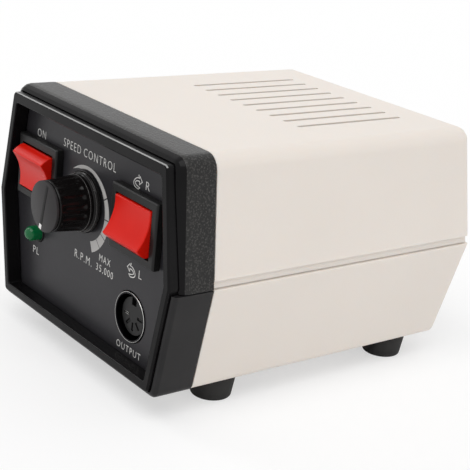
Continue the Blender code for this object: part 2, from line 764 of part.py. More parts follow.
def is_side(height, a, b):
    """Whether an edge of a cover block lies at a height and runs along a side."""
    return is_level(height, a, b) and abs(a.x - b.x) < GAP


def is_rear(height, a, b):
    """Whether an edge of a cover block is an upright one at the rear, or crosses the rear at a height."""
    return is_upright_rear(a, b) or (is_level(height, a, b) and min(a.y, b.y) > 0)


def rear_window_outline(margin):
    """The rear panel's outline grown by a margin."""
    low = BASE_Z + REAR_PANEL_BASE_RISE - margin
    high = TOP_Z - REAR_PANEL_TOP_DROP + margin
    middle = (0, (low + high) / 2)
    return rectangle(middle, REAR_PANEL_HALF_WIDTH + margin, (high - low) / 2)


def hollow_cover(cover, hollow):
    """Empty a cover, all but the collar round the rear panel, and open that collar for the panel."""
    collar = prism(cover.name + "_collar", [rear_window_outline(GAP + REAR_COLLAR_WALL)], "XZ",
                   REAR_PANEL_Y - GAP, at_depth(CASE_LENGTH) + OVERRUN)
    cut(hollow, collar)
    cut(cover, hollow)
    pocket = prism(cover.name + "_pocket", [rear_window_outline(GAP)], "XZ",
                   REAR_PANEL_Y - GAP - OVERRUN, REAR_FACE_Y + GAP)
    cut(cover, pocket)
    window = rounded_outline(rear_window_outline(-REAR_LAND), [REAR_WINDOW_RADIUS] * 4)
    cut(cover, prism(cover.name + "_window", [window], "XZ", REAR_PANEL_Y, at_depth(CASE_LENGTH) + OVERRUN))


def build_upper_cover():
    """Upper cover: leaning walls, rounded top edges, vent slots, a recessed strip and four posts."""
    rim_z = WAIST_Z + PARTING_GAP
    front = at_depth(COVER_FRONT_DEPTH)
    cover = cover_block("upper_cover", rim_z, TOP_Z, front, True)
    rear_share = COVER_REAR_RADIUS / COVER_TOP_RADIUS
    weigh_edges(cover, lambda a, b: is_side(TOP_Z, a, b) or rear_share * is_rear(TOP_Z, a, b))
    bevel(cover, COVER_TOP_RADIUS, CORNER_STEPS, weighted=True)
    hollow_top = TOP_Z - CASE_WALL
    hollow = cover_block("upper_hollow", rim_z - OVERRUN, hollow_top, front - OVERRUN, True, CASE_WALL)
    weigh_edges(hollow, lambda a, b: is_side(hollow_top, a, b))
    bevel(hollow, COVER_TOP_RADIUS - CASE_WALL, 3, weighted=True)
    hollow_cover(cover, hollow)
    strip_top = rim_z + GROOVE_HEIGHT
    strip = cover_block("strip", rim_z - OVERRUN, strip_top, front - OVERRUN, True, -OVERRUN)
    core = cover_block("strip_core", rim_z - 2 * OVERRUN, strip_top + OVERRUN, front - 2 * OVERRUN, True,
                       GROOVE_DEPTH)
    weigh_edges(core, is_upright_rear)
    bevel(core, COVER_REAR_RADIUS - GROOVE_DEPTH, CORNER_STEPS, weighted=True)
    cut(strip, core)
    cut(cover, strip)
    first = -VENT_PITCH * (VENT_COUNT - 1) / 2
    middle = at_depth(VENT_FRONT_DEPTH) + VENT_LENGTH / 2
    for i in range(VENT_COUNT):
        slot = rectangle((first + VENT_PITCH * i, middle), VENT_WIDTH / 2, VENT_LENGTH / 2)
        slot = rounded_outline(slot, [VENT_WIDTH / 2 - WELD_DISTANCE] * 4, 2)
        cut(cover, prism(f"vent_{i}", [slot], "XY", hollow_top - OVERRUN, TOP_Z + OVERRUN))
    pilot_top = BASE_Z + POST_WELL_HEIGHT + CASE_SCREW_LENGTH + OVERRUN
    for label, x, y in post_places():
        join(cover, rod(f"upper_post_{label}", POST_UPPER_RADIUS, (x, y, WAIST_Z + GAP),
                        (x, y, hollow_top + GAP)))
        cut(cover, rod(f"upper_pilot_{label}", CASE_SCREW_RADIUS + GAP, (x, y, WAIST_Z - OVERRUN),
                       (x, y, pilot_top), SMALL_FACETS))
    finish(cover, BEIGE_ABS)


def corner_places(half_width, front_depth, rear_depth):
    """Name, X and Y of four places, one near each corner of the case."""
    return [(f"{end}_{side}", x, at_depth(depth))
            for end, depth in (("front", front_depth), ("rear", rear_depth))
            for side, x in (("left", -half_width), ("right", half_width))]


def post_places():
    """Where the covers' posts stand."""
    return corner_places(POST_X, POST_FRONT_DEPTH, CASE_LENGTH - POST_REAR_INSET)


def foot_places():
    """Where the feet stand."""
    return corner_places(FOOT_X, FOOT_FRONT_DEPTH, CASE_LENGTH - FOOT_REAR_INSET)


def board_hole_places():
    """Name, X and Y of the board's four posts; the first two hold its screws."""
    left, right = BOARD_LEFT + BOARD_HOLE_INSET, BOARD_LEFT + BOARD_WIDTH - BOARD_HOLE_INSET
    front = at_depth(BOARD_FRONT_DEPTH) + BOARD_HOLE_INSET
    rear = at_depth(BOARD_FRONT_DEPTH + BOARD_LENGTH) - BOARD_HOLE_INSET
    return [("front", left, front), ("rear", right, rear), ("spare_front", right, front),
            ("spare_rear", left, rear)]


def bracket_hole_places():
    """Name, X and Y of the transformer bracket's two screws."""
    reach = CORE_LENGTH / 2 + GAP + BRACKET_THICKNESS + BRACKET_FOOT / 2
    middle = at_depth(CORE_FRONT_DEPTH) + CORE_LENGTH / 2
    return [("front", CORE_X, middle - reach), ("rear", CORE_X, middle + reach)]


def build_lower_cover():
    """Lower cover: a tray with leaning walls, posts and bosses, and screw holes in its floor."""
    front = at_depth(COVER_FRONT_DEPTH)
    cover = cover_block("lower_cover", BASE_Z, WAIST_Z, front, False)
    rear_share = COVER_REAR_RADIUS / COVER_BASE_RADIUS
    weigh_edges(cover, lambda a, b: is_side(BASE_Z, a, b) or rear_share * is_rear(BASE_Z, a, b))
    bevel(cover, COVER_BASE_RADIUS, CORNER_STEPS, weighted=True)
    hollow = cover_block("lower_hollow", FLOOR_Z, WAIST_Z + OVERRUN, front - OVERRUN, False, CASE_WALL)
    hollow_cover(cover, hollow)
    root = FLOOR_Z - GAP
    well_top = BASE_Z + POST_WELL_HEIGHT
    for label, x, y in post_places():
        join(cover, rod(f"lower_post_{label}", POST_RADIUS, (x, y, root), (x, y, WAIST_Z)))
        cut(cover, rod(f"post_well_{label}", POST_WELL_RADIUS, (x, y, BASE_Z - OVERRUN), (x, y, well_top)))
        cut(cover, rod(f"post_bore_{label}", CASE_SCREW_RADIUS + GAP, (x, y, well_top - OVERRUN),
                       (x, y, WAIST_Z + OVERRUN), SMALL_FACETS))
    tip = FOOT_WELL_DEPTH - GAP + FOOT_SCREW_LENGTH
    for label, x, y in foot_places():
        join(cover, rod(f"foot_boss_{label}", FOOT_BOSS_RADIUS, (x, y, root),
                        (x, y, FLOOR_Z + FOOT_BOSS_HEIGHT)))
        cut(cover, rod(f"foot_pilot_{label}", FOOT_SCREW_RADIUS + GAP, (x, y, BASE_Z - OVERRUN),
                       (x, y, tip + GAP), SMALL_FACETS))
    board_seat = FLOOR_Z + BOARD_RISE - GAP
    for label, x, y in board_hole_places():
        join(cover, rod(f"board_post_{label}", BOARD_POST_RADIUS, (x, y, root), (x, y, board_seat),
                        SMALL_FACETS))
        cut(cover, rod(f"board_pilot_{label}", BOARD_SCREW_RADIUS + GAP, (x, y, FLOOR_Z),
                       (x, y, board_seat + OVERRUN), SMALL_FACETS))
    for label, x, y in bracket_hole_places():
        cut(cover, rod(f"bracket_bore_{label}", BRACKET_SCREW_RADIUS + GAP, (x, y, BASE_Z - OVERRUN),
                       (x, y, FLOOR_Z + OVERRUN), SMALL_FACETS))
    finish(cover, BEIGE_ABS)


def build_case_screws():
    """The four long screws in the lower cover's wells, heads down."""
    for label, x, y in post_places():
        build_screw(f"case_screw_{label}", (x, y, BASE_Z + POST_WELL_HEIGHT - GAP), DOWNWARD,
                    CASE_SCREW_RADIUS, CASE_SCREW_LENGTH, CASE_SCREW_HEAD_RADIUS, CASE_SCREW_HEAD)


def build_feet():
    """Four turned rubber feet, each with a well for its screw."""
    round_steps = 2
    hole, top = FOOT_SCREW_RADIUS + GAP, FOOT_HEIGHT - GAP
    for label, x, y in foot_places():
        profile = [(hole, top), (FOOT_TOP_RADIUS, top)]
        for i in range(round_steps + 1):
            turn = math.pi / 2 * i / round_steps
            profile.append((FOOT_BASE_RADIUS - FOOT_EDGE_RADIUS * (1 - math.cos(turn)),
                            FOOT_EDGE_RADIUS * (1 - math.sin(turn))))
        profile += [(FOOT_WELL_RADIUS, 0), (FOOT_WELL_RADIUS, FOOT_WELL_DEPTH), (hole, FOOT_WELL_DEPTH)]
        finish(turned(f"foot_{label}", profile, (x, y, 0), UPWARD, ROUND_FACETS), RUBBER)
        build_screw(f"foot_screw_{label}", (x, y, FOOT_WELL_DEPTH - GAP), DOWNWARD, FOOT_SCREW_RADIUS,
                    FOOT_SCREW_LENGTH, FOOT_SCREW_HEAD_RADIUS, FOOT_SCREW_HEAD)


# Front

def build_frame_half(name, front_depth, radius, upper):
    """One half of the black surround: rounded in front, pocketed for bezel and panel, open behind."""
    front, rear = at_depth(front_depth), at_depth(COVER_FRONT_DEPTH) - GAP
    outline = case_outline()
    base_radius, top_radius = (0, COVER_TOP_RADIUS) if upper else (COVER_BASE_RADIUS, 0)
    corners = [base_radius, base_radius, 0, top_radius, top_radius, 0]
    frame = prism(name, [rounded_outline(outline, corners)], "XZ", front, rear)
    weigh_edges(frame, lambda a, b: max(a.y, b.y) < front + GAP)
    bevel(frame, radius, CORNER_STEPS, weighted=True)
    corner = BEZEL_CORNER_RADIUS
    seat = inset_outline(bezel_outline(), [-GAP] * 6)
    seat = rounded_outline(seat, [corner, corner, 0, corner, corner, 0], 3)
    flange_front = PANEL_BACK_Y + GAP
    cut(frame, prism(name + "_seat", [seat], "XZ", FRONT_Y - OVERRUN, flange_front))
    opening = inset_outline(bezel_outline(), [FRAME_FLANGE_WIDTH] * 6)
    cut(frame, prism(name + "_opening", [opening], "XZ", flange_front - OVERRUN, rear + OVERRUN))
    corner = COVER_TOP_RADIUS - FRAME_WALL
    hollow = rounded_outline(inset_outline(outline, [FRAME_WALL] * 6), [0, 0, 0, corner, corner, 0], 3)
    cut(frame, prism(name + "_hollow", [hollow], "XZ", flange_front + FRAME_FLANGE_THICKNESS, rear + OVERRUN))
    reach = CASE_WAIST_HALF_WIDTH + OVERRUN
    low, high = (BASE_Z - OVERRUN, WAIST_Z + GAP) if upper else (WAIST_Z, TOP_Z + OVERRUN)
    cut(frame, box(name + "_other_half", (-reach, FRONT_Y - OVERRUN, low), (reach, rear + OVERRUN, high)))
    finish(frame, BLACK_ABS)


def build_bezel():
    """The raised six-sided rim round the panel."""
    corner = BEZEL_CORNER_RADIUS
    outer = rounded_outline(bezel_outline(), [corner, corner, 0, corner, corner, 0], 3)
    bezel = prism("front_bezel", [outer], "XZ", FRONT_Y, PANEL_Y - GAP)
    weigh_edges(bezel, lambda a, b: max(a.y, b.y) < FRONT_Y + GAP)
    bevel(bezel, SOFT_EDGE, 2, weighted=True)
    corner = BEZEL_OPENING_RADIUS
    inner = rounded_outline(opening_outline(), [corner, corner, 0, corner, corner, 0], 3)
    cut(bezel, prism("bezel_opening", [inner], "XZ", FRONT_Y - OVERRUN, PANEL_Y + OVERRUN))
    finish(bezel, BLACK_ABS)


def build_panel():
    """The panel plate with a hole for each piece that passes through it, and two socket bosses."""
    corner = BEZEL_CORNER_RADIUS
    outer = rounded_outline(bezel_outline(), [corner, corner, 0, corner, corner, 0], 3)
    half_width, half_height = SWITCH_BODY_HALF_WIDTH + GAP, SWITCH_BODY_HALF_HEIGHT + GAP
    holes = [rectangle((POWER_SWITCH_X, POWER_SWITCH_Z), half_width, half_height),
             rectangle((DIRECTION_SWITCH_X, DIRECTION_SWITCH_Z), half_width, half_height),
             circle((KNOB_X, KNOB_Z), POT_BUSH_RADIUS + GAP),
             circle((SOCKET_X, SOCKET_Z), SOCKET_SHELL_RADIUS + GAP, FINE_FACETS),
             circle((LAMP_X, LAMP_Z), LAMP_RADIUS + RUNNING_GAP + LAMP_HOLDER_WALL + GAP)]
    panel = prism("front_panel", [outer] + holes, "XZ", PANEL_Y, PANEL_BACK_Y)
    boss_end = PANEL_BACK_Y + SOCKET_BOSS_HEIGHT
    for side in (-1, 1):
        x = SOCKET_X + side * SOCKET_SCREW_X
        join(panel, rod(f"socket_boss_{side}", SOCKET_BOSS_RADIUS, (x, PANEL_BACK_Y - GAP, SOCKET_Z),
                        (x, boss_end, SOCKET_Z)))
        cut(panel, rod(f"socket_pilot_{side}", SOCKET_SCREW_RADIUS + GAP, (x, PANEL_BACK_Y - GAP, SOCKET_Z),
                       (x, boss_end + OVERRUN, SOCKET_Z), SMALL_FACETS))
    finish(panel, PANEL_GREY)


def build_switch(label, x, z, tilt, rows):
    """A rocker switch: a housing with rows of terminals, and its rocker tilted as it rests."""
    flange_front = PANEL_Y - GAP - SWITCH_PROUD
    flange_back = PANEL_Y - GAP
    body_end = flange_back + SWITCH_BODY_LENGTH
    housing = box(f"{label}_switch_housing", (x - SWITCH_HALF_WIDTH, flange_front, z - SWITCH_HALF_HEIGHT),
                  (x + SWITCH_HALF_WIDTH, flange_back, z + SWITCH_HALF_HEIGHT))
    front_y = flange_front - housing.location.y
    weigh_edges(housing, lambda a, b: max(a.y, b.y) < front_y + GAP)
    bevel(housing, SOFT_EDGE, 2, weighted=True)
    body = box(f"{label}_switch_body",
               (x - SWITCH_BODY_HALF_WIDTH, flange_back - SWITCH_PROUD / 2, z - SWITCH_BODY_HALF_HEIGHT),
               (x + SWITCH_BODY_HALF_WIDTH, body_end, z + SWITCH_BODY_HALF_HEIGHT))
    join(housing, body)
    for row in range(rows):
        blade_z = z + (row - (rows - 1) / 2) * TERMINAL_PITCH_Z
        for side in (-1, 1):
            blade_x = x + side * TERMINAL_PITCH_X / 2
            join(housing, terminal(f"{label}_terminal_{row}_{side}", (blade_x, body_end, blade_z), 1))
    pivot_y = flange_front + ROCKER_PIVOT_DEPTH
    reach = ROCKER_PIVOT_DEPTH + ROCKER_RIDGE_PROUD
    swing = math.hypot(ROCKER_RIDGE_HEIGHT, reach)
    window_half = swing + GAP
    well = box(f"{label}_switch_well",
               (x - ROCKER_HALF_WIDTH - GAP, flange_front - OVERRUN, z - window_half),
               (x + ROCKER_HALF_WIDTH + GAP, flange_front + SWITCH_WELL_DEPTH, z + window_half))
    cut(housing, well)
    pin_reach = ROCKER_HALF_WIDTH + ROCKER_PIN_LENGTH
    cut(housing, rod(f"{label}_pin_hole", ROCKER_PIN_RADIUS + RUNNING_GAP,
                     (x - pin_reach - RUNNING_GAP, pivot_y, z), (x + pin_reach + RUNNING_GAP, pivot_y, z)))
    finish(housing, BLACK_NYLON)

    outline = rocker_outline(swing, reach)
    rocker = prism(f"{label}_rocker", [outline], "YZ", -ROCKER_HALF_WIDTH, ROCKER_HALF_WIDTH)
    bevel(rocker, FINE_EDGE, 1, angle=math.radians(35))
    pin = rod(f"{label}_rocker_pin", ROCKER_PIN_RADIUS, (-pin_reach, 0, 0), (pin_reach, 0, 0))
    join(rocker, pin)
    for piece in (rocker, pin):
        piece.location = (x, pivot_y, z)
        piece.rotation_euler = (tilt, 0, 0)
    shade_round(rocker, math.radians(30))
    finish(rocker, RED_NYLON)


def terminal(name, root, direction):
    """A flat terminal that stands out of a body's back along Y, in one direction from its root."""
    x, y, z = root
    ends = sorted((y - direction * OVERRUN, y + direction * TERMINAL_LENGTH))
    return box(name, (x - TERMINAL_WIDTH / 2, ends[0], z - TERMINAL_THICKNESS / 2),
               (x + TERMINAL_WIDTH / 2, ends[1], z + TERMINAL_THICKNESS / 2))


def rocker_outline(swing, reach):
    """Side outline of a rocker about its pivot: dished face, two ends on the swing arc, narrow back."""
    dish_steps, end_steps = 8, 4
    points = []
    ridge = ROCKER_RIDGE_HEIGHT
    for i in range(dish_steps + 1):
        share = 2 * i / dish_steps - 1
        points.append((-reach + ROCKER_DISH * (1 - share ** 2), ridge * share))
    top = math.atan2(ridge, -reach)
    side = math.pi / 2
    for i in range(1, end_steps + 1):
        angle = top + (side - top) * i / end_steps
        points.append((swing * math.cos(angle), swing * math.sin(angle)))
    points += [(ROCKER_BACK_DEPTH, ROCKER_BACK_HALF_HEIGHT), (ROCKER_BACK_DEPTH, -ROCKER_BACK_HALF_HEIGHT)]
    for i in range(end_steps):
        angle = -side + (side - top) * i / end_steps
        points.append((swing * math.cos(angle), swing * math.sin(angle)))
    return points


def build_knob():
    """The speed knob with its disc, pointer and shaft, all on one axis."""
    axis_place = (KNOB_X, PANEL_Y, KNOB_Z)
    lip = KNOB_STANDOFF + KNOB_SKIRT_HEIGHT
    step = lip + KNOB_STEP_HEIGHT
    body_start = step + KNOB_STEP_HEIGHT / 2
    face = KNOB_REACH - CAP_THICKNESS - GAP
    profile = [(0, face), (KNOB_FACE_RADIUS - KNOB_FACE_ROUND, face),
               (KNOB_FACE_RADIUS, face - KNOB_FACE_ROUND),
               (KNOB_BODY_RADIUS, body_start), (KNOB_STEP_RADIUS, body_start), (KNOB_STEP_RADIUS, step),
               (KNOB_BODY_RADIUS, step - KNOB_STEP_HEIGHT / 3),
               (KNOB_BODY_RADIUS, lip + KNOB_STEP_HEIGHT / 3),
               (KNOB_LIP_RADIUS, lip), (KNOB_SKIRT_RADIUS, lip - KNOB_SKIRT_HEIGHT / 3),
               (KNOB_SKIRT_RADIUS, KNOB_STANDOFF),
               (KNOB_HOLLOW_RADIUS, KNOB_STANDOFF), (KNOB_HOLLOW_RADIUS, KNOB_STANDOFF + KNOB_HOLLOW_DEPTH),
               (SHAFT_RADIUS + RUNNING_GAP, KNOB_STANDOFF + KNOB_HOLLOW_DEPTH),
               (SHAFT_RADIUS + RUNNING_GAP, KNOB_BORE_DEPTH), (0, KNOB_BORE_DEPTH)]
    knob = turned("speed_knob", profile, axis_place, FRONTWARD)
    taper = (KNOB_BODY_RADIUS - KNOB_FACE_RADIUS) / (face - body_start)
    low, high = body_start + KNOB_FLUTE_MARGIN, face - KNOB_FLUTE_MARGIN
    for i in range(KNOB_FLUTES):
        turn = 2 * math.pi * (i + 0.5) / KNOB_FLUTES
        ends = []
        for height in (low, high):
            radius = KNOB_BODY_RADIUS - taper * (height - body_start) + KNOB_FLUTE_RADIUS - KNOB_FLUTE_BITE
            ends.append((KNOB_X + radius * math.cos(turn), PANEL_Y - height,
                         KNOB_Z + radius * math.sin(turn)))
        cut(knob, rod(f"flute_{i}", KNOB_FLUTE_RADIUS, ends[0], ends[1], SMALL_FACETS))
    seat = face - CAP_SPIGOT_LENGTH
    cut(knob, rod("cap_seat", CAP_SPIGOT_RADIUS + RUNNING_GAP, (KNOB_X, PANEL_Y - seat, KNOB_Z),
                  (KNOB_X, PANEL_Y - face - OVERRUN, KNOB_Z), FINE_FACETS))
    finish(knob, BLACK_NYLON)

    profile = [(0, KNOB_REACH), (CAP_RADIUS, KNOB_REACH), (CAP_RADIUS, face + GAP),
               (CAP_SPIGOT_RADIUS, face + GAP), (CAP_SPIGOT_RADIUS, seat + GAP), (0, seat + GAP)]
    cap = turned("knob_cap", profile, axis_place, FRONTWARD, FINE_FACETS)
    pointer_turn = Matrix.Rotation(POINTER_REST_ANGLE, 4, "Y")
    strip_low = KNOB_REACH - POINTER_DEPTH
    groove = box("pointer_groove",
                 (-POINTER_WIDTH / 2 - RUNNING_GAP, -KNOB_REACH - OVERRUN, -CAP_RADIUS - OVERRUN),
                 (POINTER_WIDTH / 2 + RUNNING_GAP, -strip_low + RUNNING_GAP, CAP_RADIUS + OVERRUN), (0, 0, 0))
    cut(cap, groove)
    strip_end = CAP_RADIUS - FINE_EDGE
    strip = box("knob_pointer", (-POINTER_WIDTH / 2, -KNOB_REACH, -strip_end),
                (POINTER_WIDTH / 2, -strip_low, strip_end), (0, 0, 0))
    for piece in (groove, strip):
        piece.matrix_world = Matrix.Translation(axis_place) @ pointer_turn
    shade_round(cap)
    shaft = rod("knob_shaft", SHAFT_RADIUS, (KNOB_X, PANEL_BACK_Y + POT_WELL_DEPTH, KNOB_Z),
                (KNOB_X, PANEL_Y - KNOB_BORE_DEPTH + GAP, KNOB_Z), place=axis_place)
    bpy.context.view_layer.update()
    finish(cap, KNOB_GREY, knob)
    finish(strip, BLACK_NYLON, knob)
    finish(shaft, ZINC_STEEL, knob)


def build_potentiometer():
    """The potentiometer behind the panel, its three lugs in one with it, and the nut on its bush."""
    front = PANEL_BACK_Y + GAP
    bush = PANEL_THICKNESS + 2 * GAP + POT_BUSH_PROUD
    bore = SHAFT_RADIUS + RUNNING_GAP
    profile = [(0, -POT_WELL_DEPTH), (bore, -POT_WELL_DEPTH), (bore, bush),
               (POT_BUSH_RADIUS - FINE_EDGE, bush),
               (POT_BUSH_RADIUS, bush - FINE_EDGE), (POT_BUSH_RADIUS, 0), (POT_RADIUS, 0),
               (POT_RADIUS, -POT_LENGTH), (0, -POT_LENGTH)]
    pot = turned("potentiometer", profile, (KNOB_X, front, KNOB_Z), FRONTWARD, ROUND_FACETS)
    y = front + POT_LENGTH / 2
    for i in (-1, 0, 1):
        x = KNOB_X + i * POT_LUG_PITCH
        root = KNOB_Z - math.sqrt(POT_RADIUS ** 2 - (i * POT_LUG_PITCH) ** 2) + SOFT_EDGE
        join(pot, box(f"lug_{i}", (x - POT_LUG_WIDTH / 2, y, KNOB_Z - POT_RADIUS - POT_LUG_LENGTH),
                      (x + POT_LUG_WIDTH / 2, y + TERMINAL_THICKNESS, root)))
    finish(pot, ZINC_STEEL)
    centre = (KNOB_X, KNOB_Z)
    outlines = [circle(centre, POT_NUT_RADIUS, 6), circle(centre, POT_BUSH_RADIUS + RUNNING_GAP)]
    nut = prism("potentiometer_nut", outlines, "XZ", PANEL_Y - GAP - POT_NUT_THICKNESS, PANEL_Y - GAP)
    finish(nut, NICKEL)


def build_socket():
    """The round socket: thin shell with a flange behind the panel, and a keyed insulator with contacts."""
    front = PANEL_Y - SOCKET_PROUD
    place = (SOCKET_X, front, SOCKET_Z)
    profile = [(SOCKET_BORE_RADIUS, 0), (SOCKET_SHELL_RADIUS - FINE_EDGE, 0),
               (SOCKET_SHELL_RADIUS, -FINE_EDGE),
               (SOCKET_SHELL_RADIUS, -SOCKET_LENGTH), (SOCKET_BORE_RADIUS, -SOCKET_LENGTH)]
    shell = turned("output_socket_shell", profile, place, FRONTWARD)
    flange_y = PANEL_BACK_Y + SOCKET_BOSS_HEIGHT + GAP
    centre = (SOCKET_X, SOCKET_Z)
    corner = SOCKET_FLANGE_HALF_HEIGHT / 2
    outline = rounded_outline(rectangle(centre, SOCKET_FLANGE_HALF_WIDTH, SOCKET_FLANGE_HALF_HEIGHT),
                              [corner] * 4, 4)
    holes = [circle(centre, (SOCKET_SHELL_RADIUS + SOCKET_BORE_RADIUS) / 2, FINE_FACETS)]
    screw_xs = {"left": SOCKET_X - SOCKET_SCREW_X, "right": SOCKET_X + SOCKET_SCREW_X}
    holes += [circle((x, SOCKET_Z), SOCKET_SCREW_RADIUS + GAP, SMALL_FACETS) for x in screw_xs.values()]
    join(shell, prism("socket_flange", [outline] + holes, "XZ", flange_y, flange_y + SOCKET_FLANGE_THICKNESS))
    finish(shell, NICKEL)
    for label, x in screw_xs.items():
        build_screw(f"output_socket_screw_{label}", (x, flange_y + SOCKET_FLANGE_THICKNESS + GAP, SOCKET_Z),
                    REARWARD, SOCKET_SCREW_RADIUS, SOCKET_SCREW_LENGTH - GAP, SOCKET_SCREW_HEAD_RADIUS,
                    SOCKET_SCREW_HEAD)

    face = SOCKET_PROUD + INSULATOR_RECESS
    back = face + INSULATOR_LENGTH
    seat = back - INSULATOR_SEAT_LENGTH
    seat_radius = SOCKET_BORE_RADIUS - RUNNING_GAP
    profile = [(0, -face), (INSULATOR_RADIUS, -face), (INSULATOR_RADIUS, -seat), (seat_radius, -seat),
               (seat_radius, -back), (0, -back)]
    insulator = turned("output_socket_insulator", profile, place, FRONTWARD)
    key = box("socket_key", (SOCKET_X - KEY_WIDTH / 2, front + face - OVERRUN,
                             SOCKET_Z + INSULATOR_RADIUS - KEY_HEIGHT),
              (SOCKET_X + KEY_WIDTH / 2, front + seat - GAP, SOCKET_Z + INSULATOR_RADIUS + OVERRUN))
    cut(insulator, key)
    inner = CONTACT_CIRCLE_RADIUS - CONTACT_SLOT_LENGTH / 2
    outer = CONTACT_CIRCLE_RADIUS + CONTACT_SLOT_LENGTH / 2
    half = CONTACT_SLOT_WIDTH / 2
    for i, angle in enumerate(CONTACT_ANGLES):
        slot = box(f"contact_slot_{i}", (inner, face - OVERRUN, -half),
                   (outer, face + CONTACT_SLOT_DEPTH, half), (0, 0, 0))
        contact = box(f"contact_{i}", (inner + GAP, face + GAP, -half + GAP),
                      (outer - GAP, face + CONTACT_LENGTH, half - GAP), (0, 0, 0))
        for piece in (slot, contact):
            piece.matrix_world = Matrix.Translation(place) @ Matrix.Rotation(-angle, 4, "Y")
        cut(insulator, slot)
        join(insulator, contact)
    finish(insulator, BLACK_NYLON)


def build_lamp():
    """The pilot lamp: a dome pushed from behind through its clip, in one with its two leads."""
    bore = LAMP_RADIUS + RUNNING_GAP
    outer = bore + LAMP_HOLDER_WALL
    flange = -PANEL_THICKNESS - GAP
    back = flange - LAMP_HOLDER_FLANGE
    profile = [(bore, LAMP_HOLDER_PROUD), (outer, LAMP_HOLDER_PROUD), (outer, flange),
               (LAMP_HOLDER_FLANGE_RADIUS, flange), (LAMP_HOLDER_FLANGE_RADIUS, back), (bore, back)]
    place = (LAMP_X, PANEL_Y, LAMP_Z)
    finish(turned("pilot_lamp_holder", profile, place, FRONTWARD, ROUND_FACETS), HOLDER_BLACK)
    dome_steps = 5
    shoulder = LAMP_REACH - LAMP_RADIUS
    profile = []
    for i in range(dome_steps + 1):
        turn = math.pi / 2 * i / dome_steps
        profile.append((LAMP_RADIUS * math.sin(turn), shoulder + LAMP_RADIUS * math.cos(turn)))
    rim = back - GAP
    profile += [(LAMP_RADIUS, rim), (LAMP_RIM_RADIUS, rim), (LAMP_RIM_RADIUS, rim - LAMP_RIM_LENGTH),
                (0, rim - LAMP_RIM_LENGTH)]
    lamp = turned("pilot_lamp", profile, place, FRONTWARD, ROUND_FACETS)
    root = PANEL_Y - rim + LAMP_RIM_LENGTH / 2
    for side in (-1, 1):
        x = LAMP_X + side * LAMP_LEAD_PITCH / 2
        join(lamp, rod(f"lamp_lead_{side}", LAMP_LEAD_RADIUS, (x, root, LAMP_Z),
                       (x, root + LAMP_LEAD_LENGTH, LAMP_Z), SMALL_FACETS - 2))
    finish(lamp, GREEN_LENS)


# Inside

def build_transformer():
    """A laminated core on the floor, its bobbin and winding, and the bracket that holds it down."""
    front = at_depth(CORE_FRONT_DEPTH)
    rear = front + CORE_LENGTH
    low = FLOOR_Z + GAP
    high = low + CORE_HEIGHT
    left, right = CORE_X - CORE_STACK / 2, CORE_X + CORE_STACK / 2
    core = box("transformer_core", (left, front, low), (right, rear, high))
    window = (CORE_LENGTH - 4 * CORE_LEG) / 2
    window_low, window_high = low + CORE_LEG, high - CORE_LEG
    starts = (front + CORE_LEG, rear - CORE_LEG - window)
    for i, start in enumerate(starts):
        cut(core, box(f"core_window_{i}", (left - OVERRUN, start, window_low),
                      (right + OVERRUN, start + window, window_high)))
    finish(core, CORE_STEEL)
    centre = (CORE_X, (front + rear) / 2)
    inner = (CORE_STACK / 2 + GAP, CORE_LEG + GAP)
    tube = (inner[0] + BOBBIN_WALL, inner[1] + BOBBIN_WALL)
    flange = (BOBBIN_HALF_WIDTH, CORE_LEG + window - GAP)
    bobbin_low, bobbin_high = window_low + GAP, window_high - GAP
    cheek = [rectangle(centre, *flange)]
    bobbin = prism("transformer_bobbin", cheek, "XY", bobbin_low, bobbin_low + BOBBIN_WALL)
    join(bobbin, prism("bobbin_top", cheek, "XY", bobbin_high - BOBBIN_WALL, bobbin_high))
    join(bobbin, prism("bobbin_tube", [rectangle(centre, *tube)], "XY", bobbin_low + BOBBIN_WALL / 2,
                       bobbin_high - BOBBIN_WALL / 2))
    cut(bobbin, prism("bobbin_bore", [rectangle(centre, *inner)], "XY", bobbin_low - OVERRUN,
                      bobbin_high + OVERRUN))
    finish(bobbin, NATURAL_NYLON)
    outer = rectangle(centre, flange[0] - WINDING_MARGIN, flange[1] - WINDING_MARGIN)
    outer = rounded_outline(outer, [BOBBIN_REACH / 3] * 4, 3)
    hole = rectangle(centre, tube[0] + GAP, tube[1] + GAP)
    winding = prism("transformer_winding", [outer, hole], "XY", bobbin_low + BOBBIN_WALL + GAP,
                    bobbin_high - BOBBIN_WALL - GAP)
    finish(winding, WINDING_TAPE)
    build_bracket(front, rear, high)


def build_bracket(front, rear, core_top):
    """A strap over the core with a foot at each end."""
    thick = BRACKET_THICKNESS
    inner_front, inner_rear, inner_top = front - GAP, rear + GAP, core_top + GAP
    floor = FLOOR_Z + GAP
    outline = [(inner_front - thick - BRACKET_FOOT, floor), (inner_front, floor), (inner_front, inner_top),
               (inner_rear, inner_top), (inner_rear, floor), (inner_rear + thick + BRACKET_FOOT, floor),
               (inner_rear + thick + BRACKET_FOOT, floor + thick), (inner_rear + thick, floor + thick),
               (inner_rear + thick, inner_top + thick), (inner_front - thick, inner_top + thick),
               (inner_front - thick, floor + thick), (inner_front - thick - BRACKET_FOOT, floor + thick)]
    bracket = prism("transformer_bracket", [outline], "YZ", CORE_X - BRACKET_WIDTH / 2,
                    CORE_X + BRACKET_WIDTH / 2)
    for label, x, y in bracket_hole_places():
        cut(bracket, rod(f"bracket_hole_{label}", BRACKET_SCREW_RADIUS + GAP, (x, y, floor - OVERRUN),
                         (x, y, floor + thick + OVERRUN), SMALL_FACETS))
        build_screw(f"transformer_screw_{label}", (x, y, BASE_Z - GAP), DOWNWARD, BRACKET_SCREW_RADIUS,
                    BRACKET_SCREW_LENGTH, BRACKET_SCREW_HEAD_RADIUS, BRACKET_SCREW_HEAD)
    finish(bracket, ZINC_STEEL)


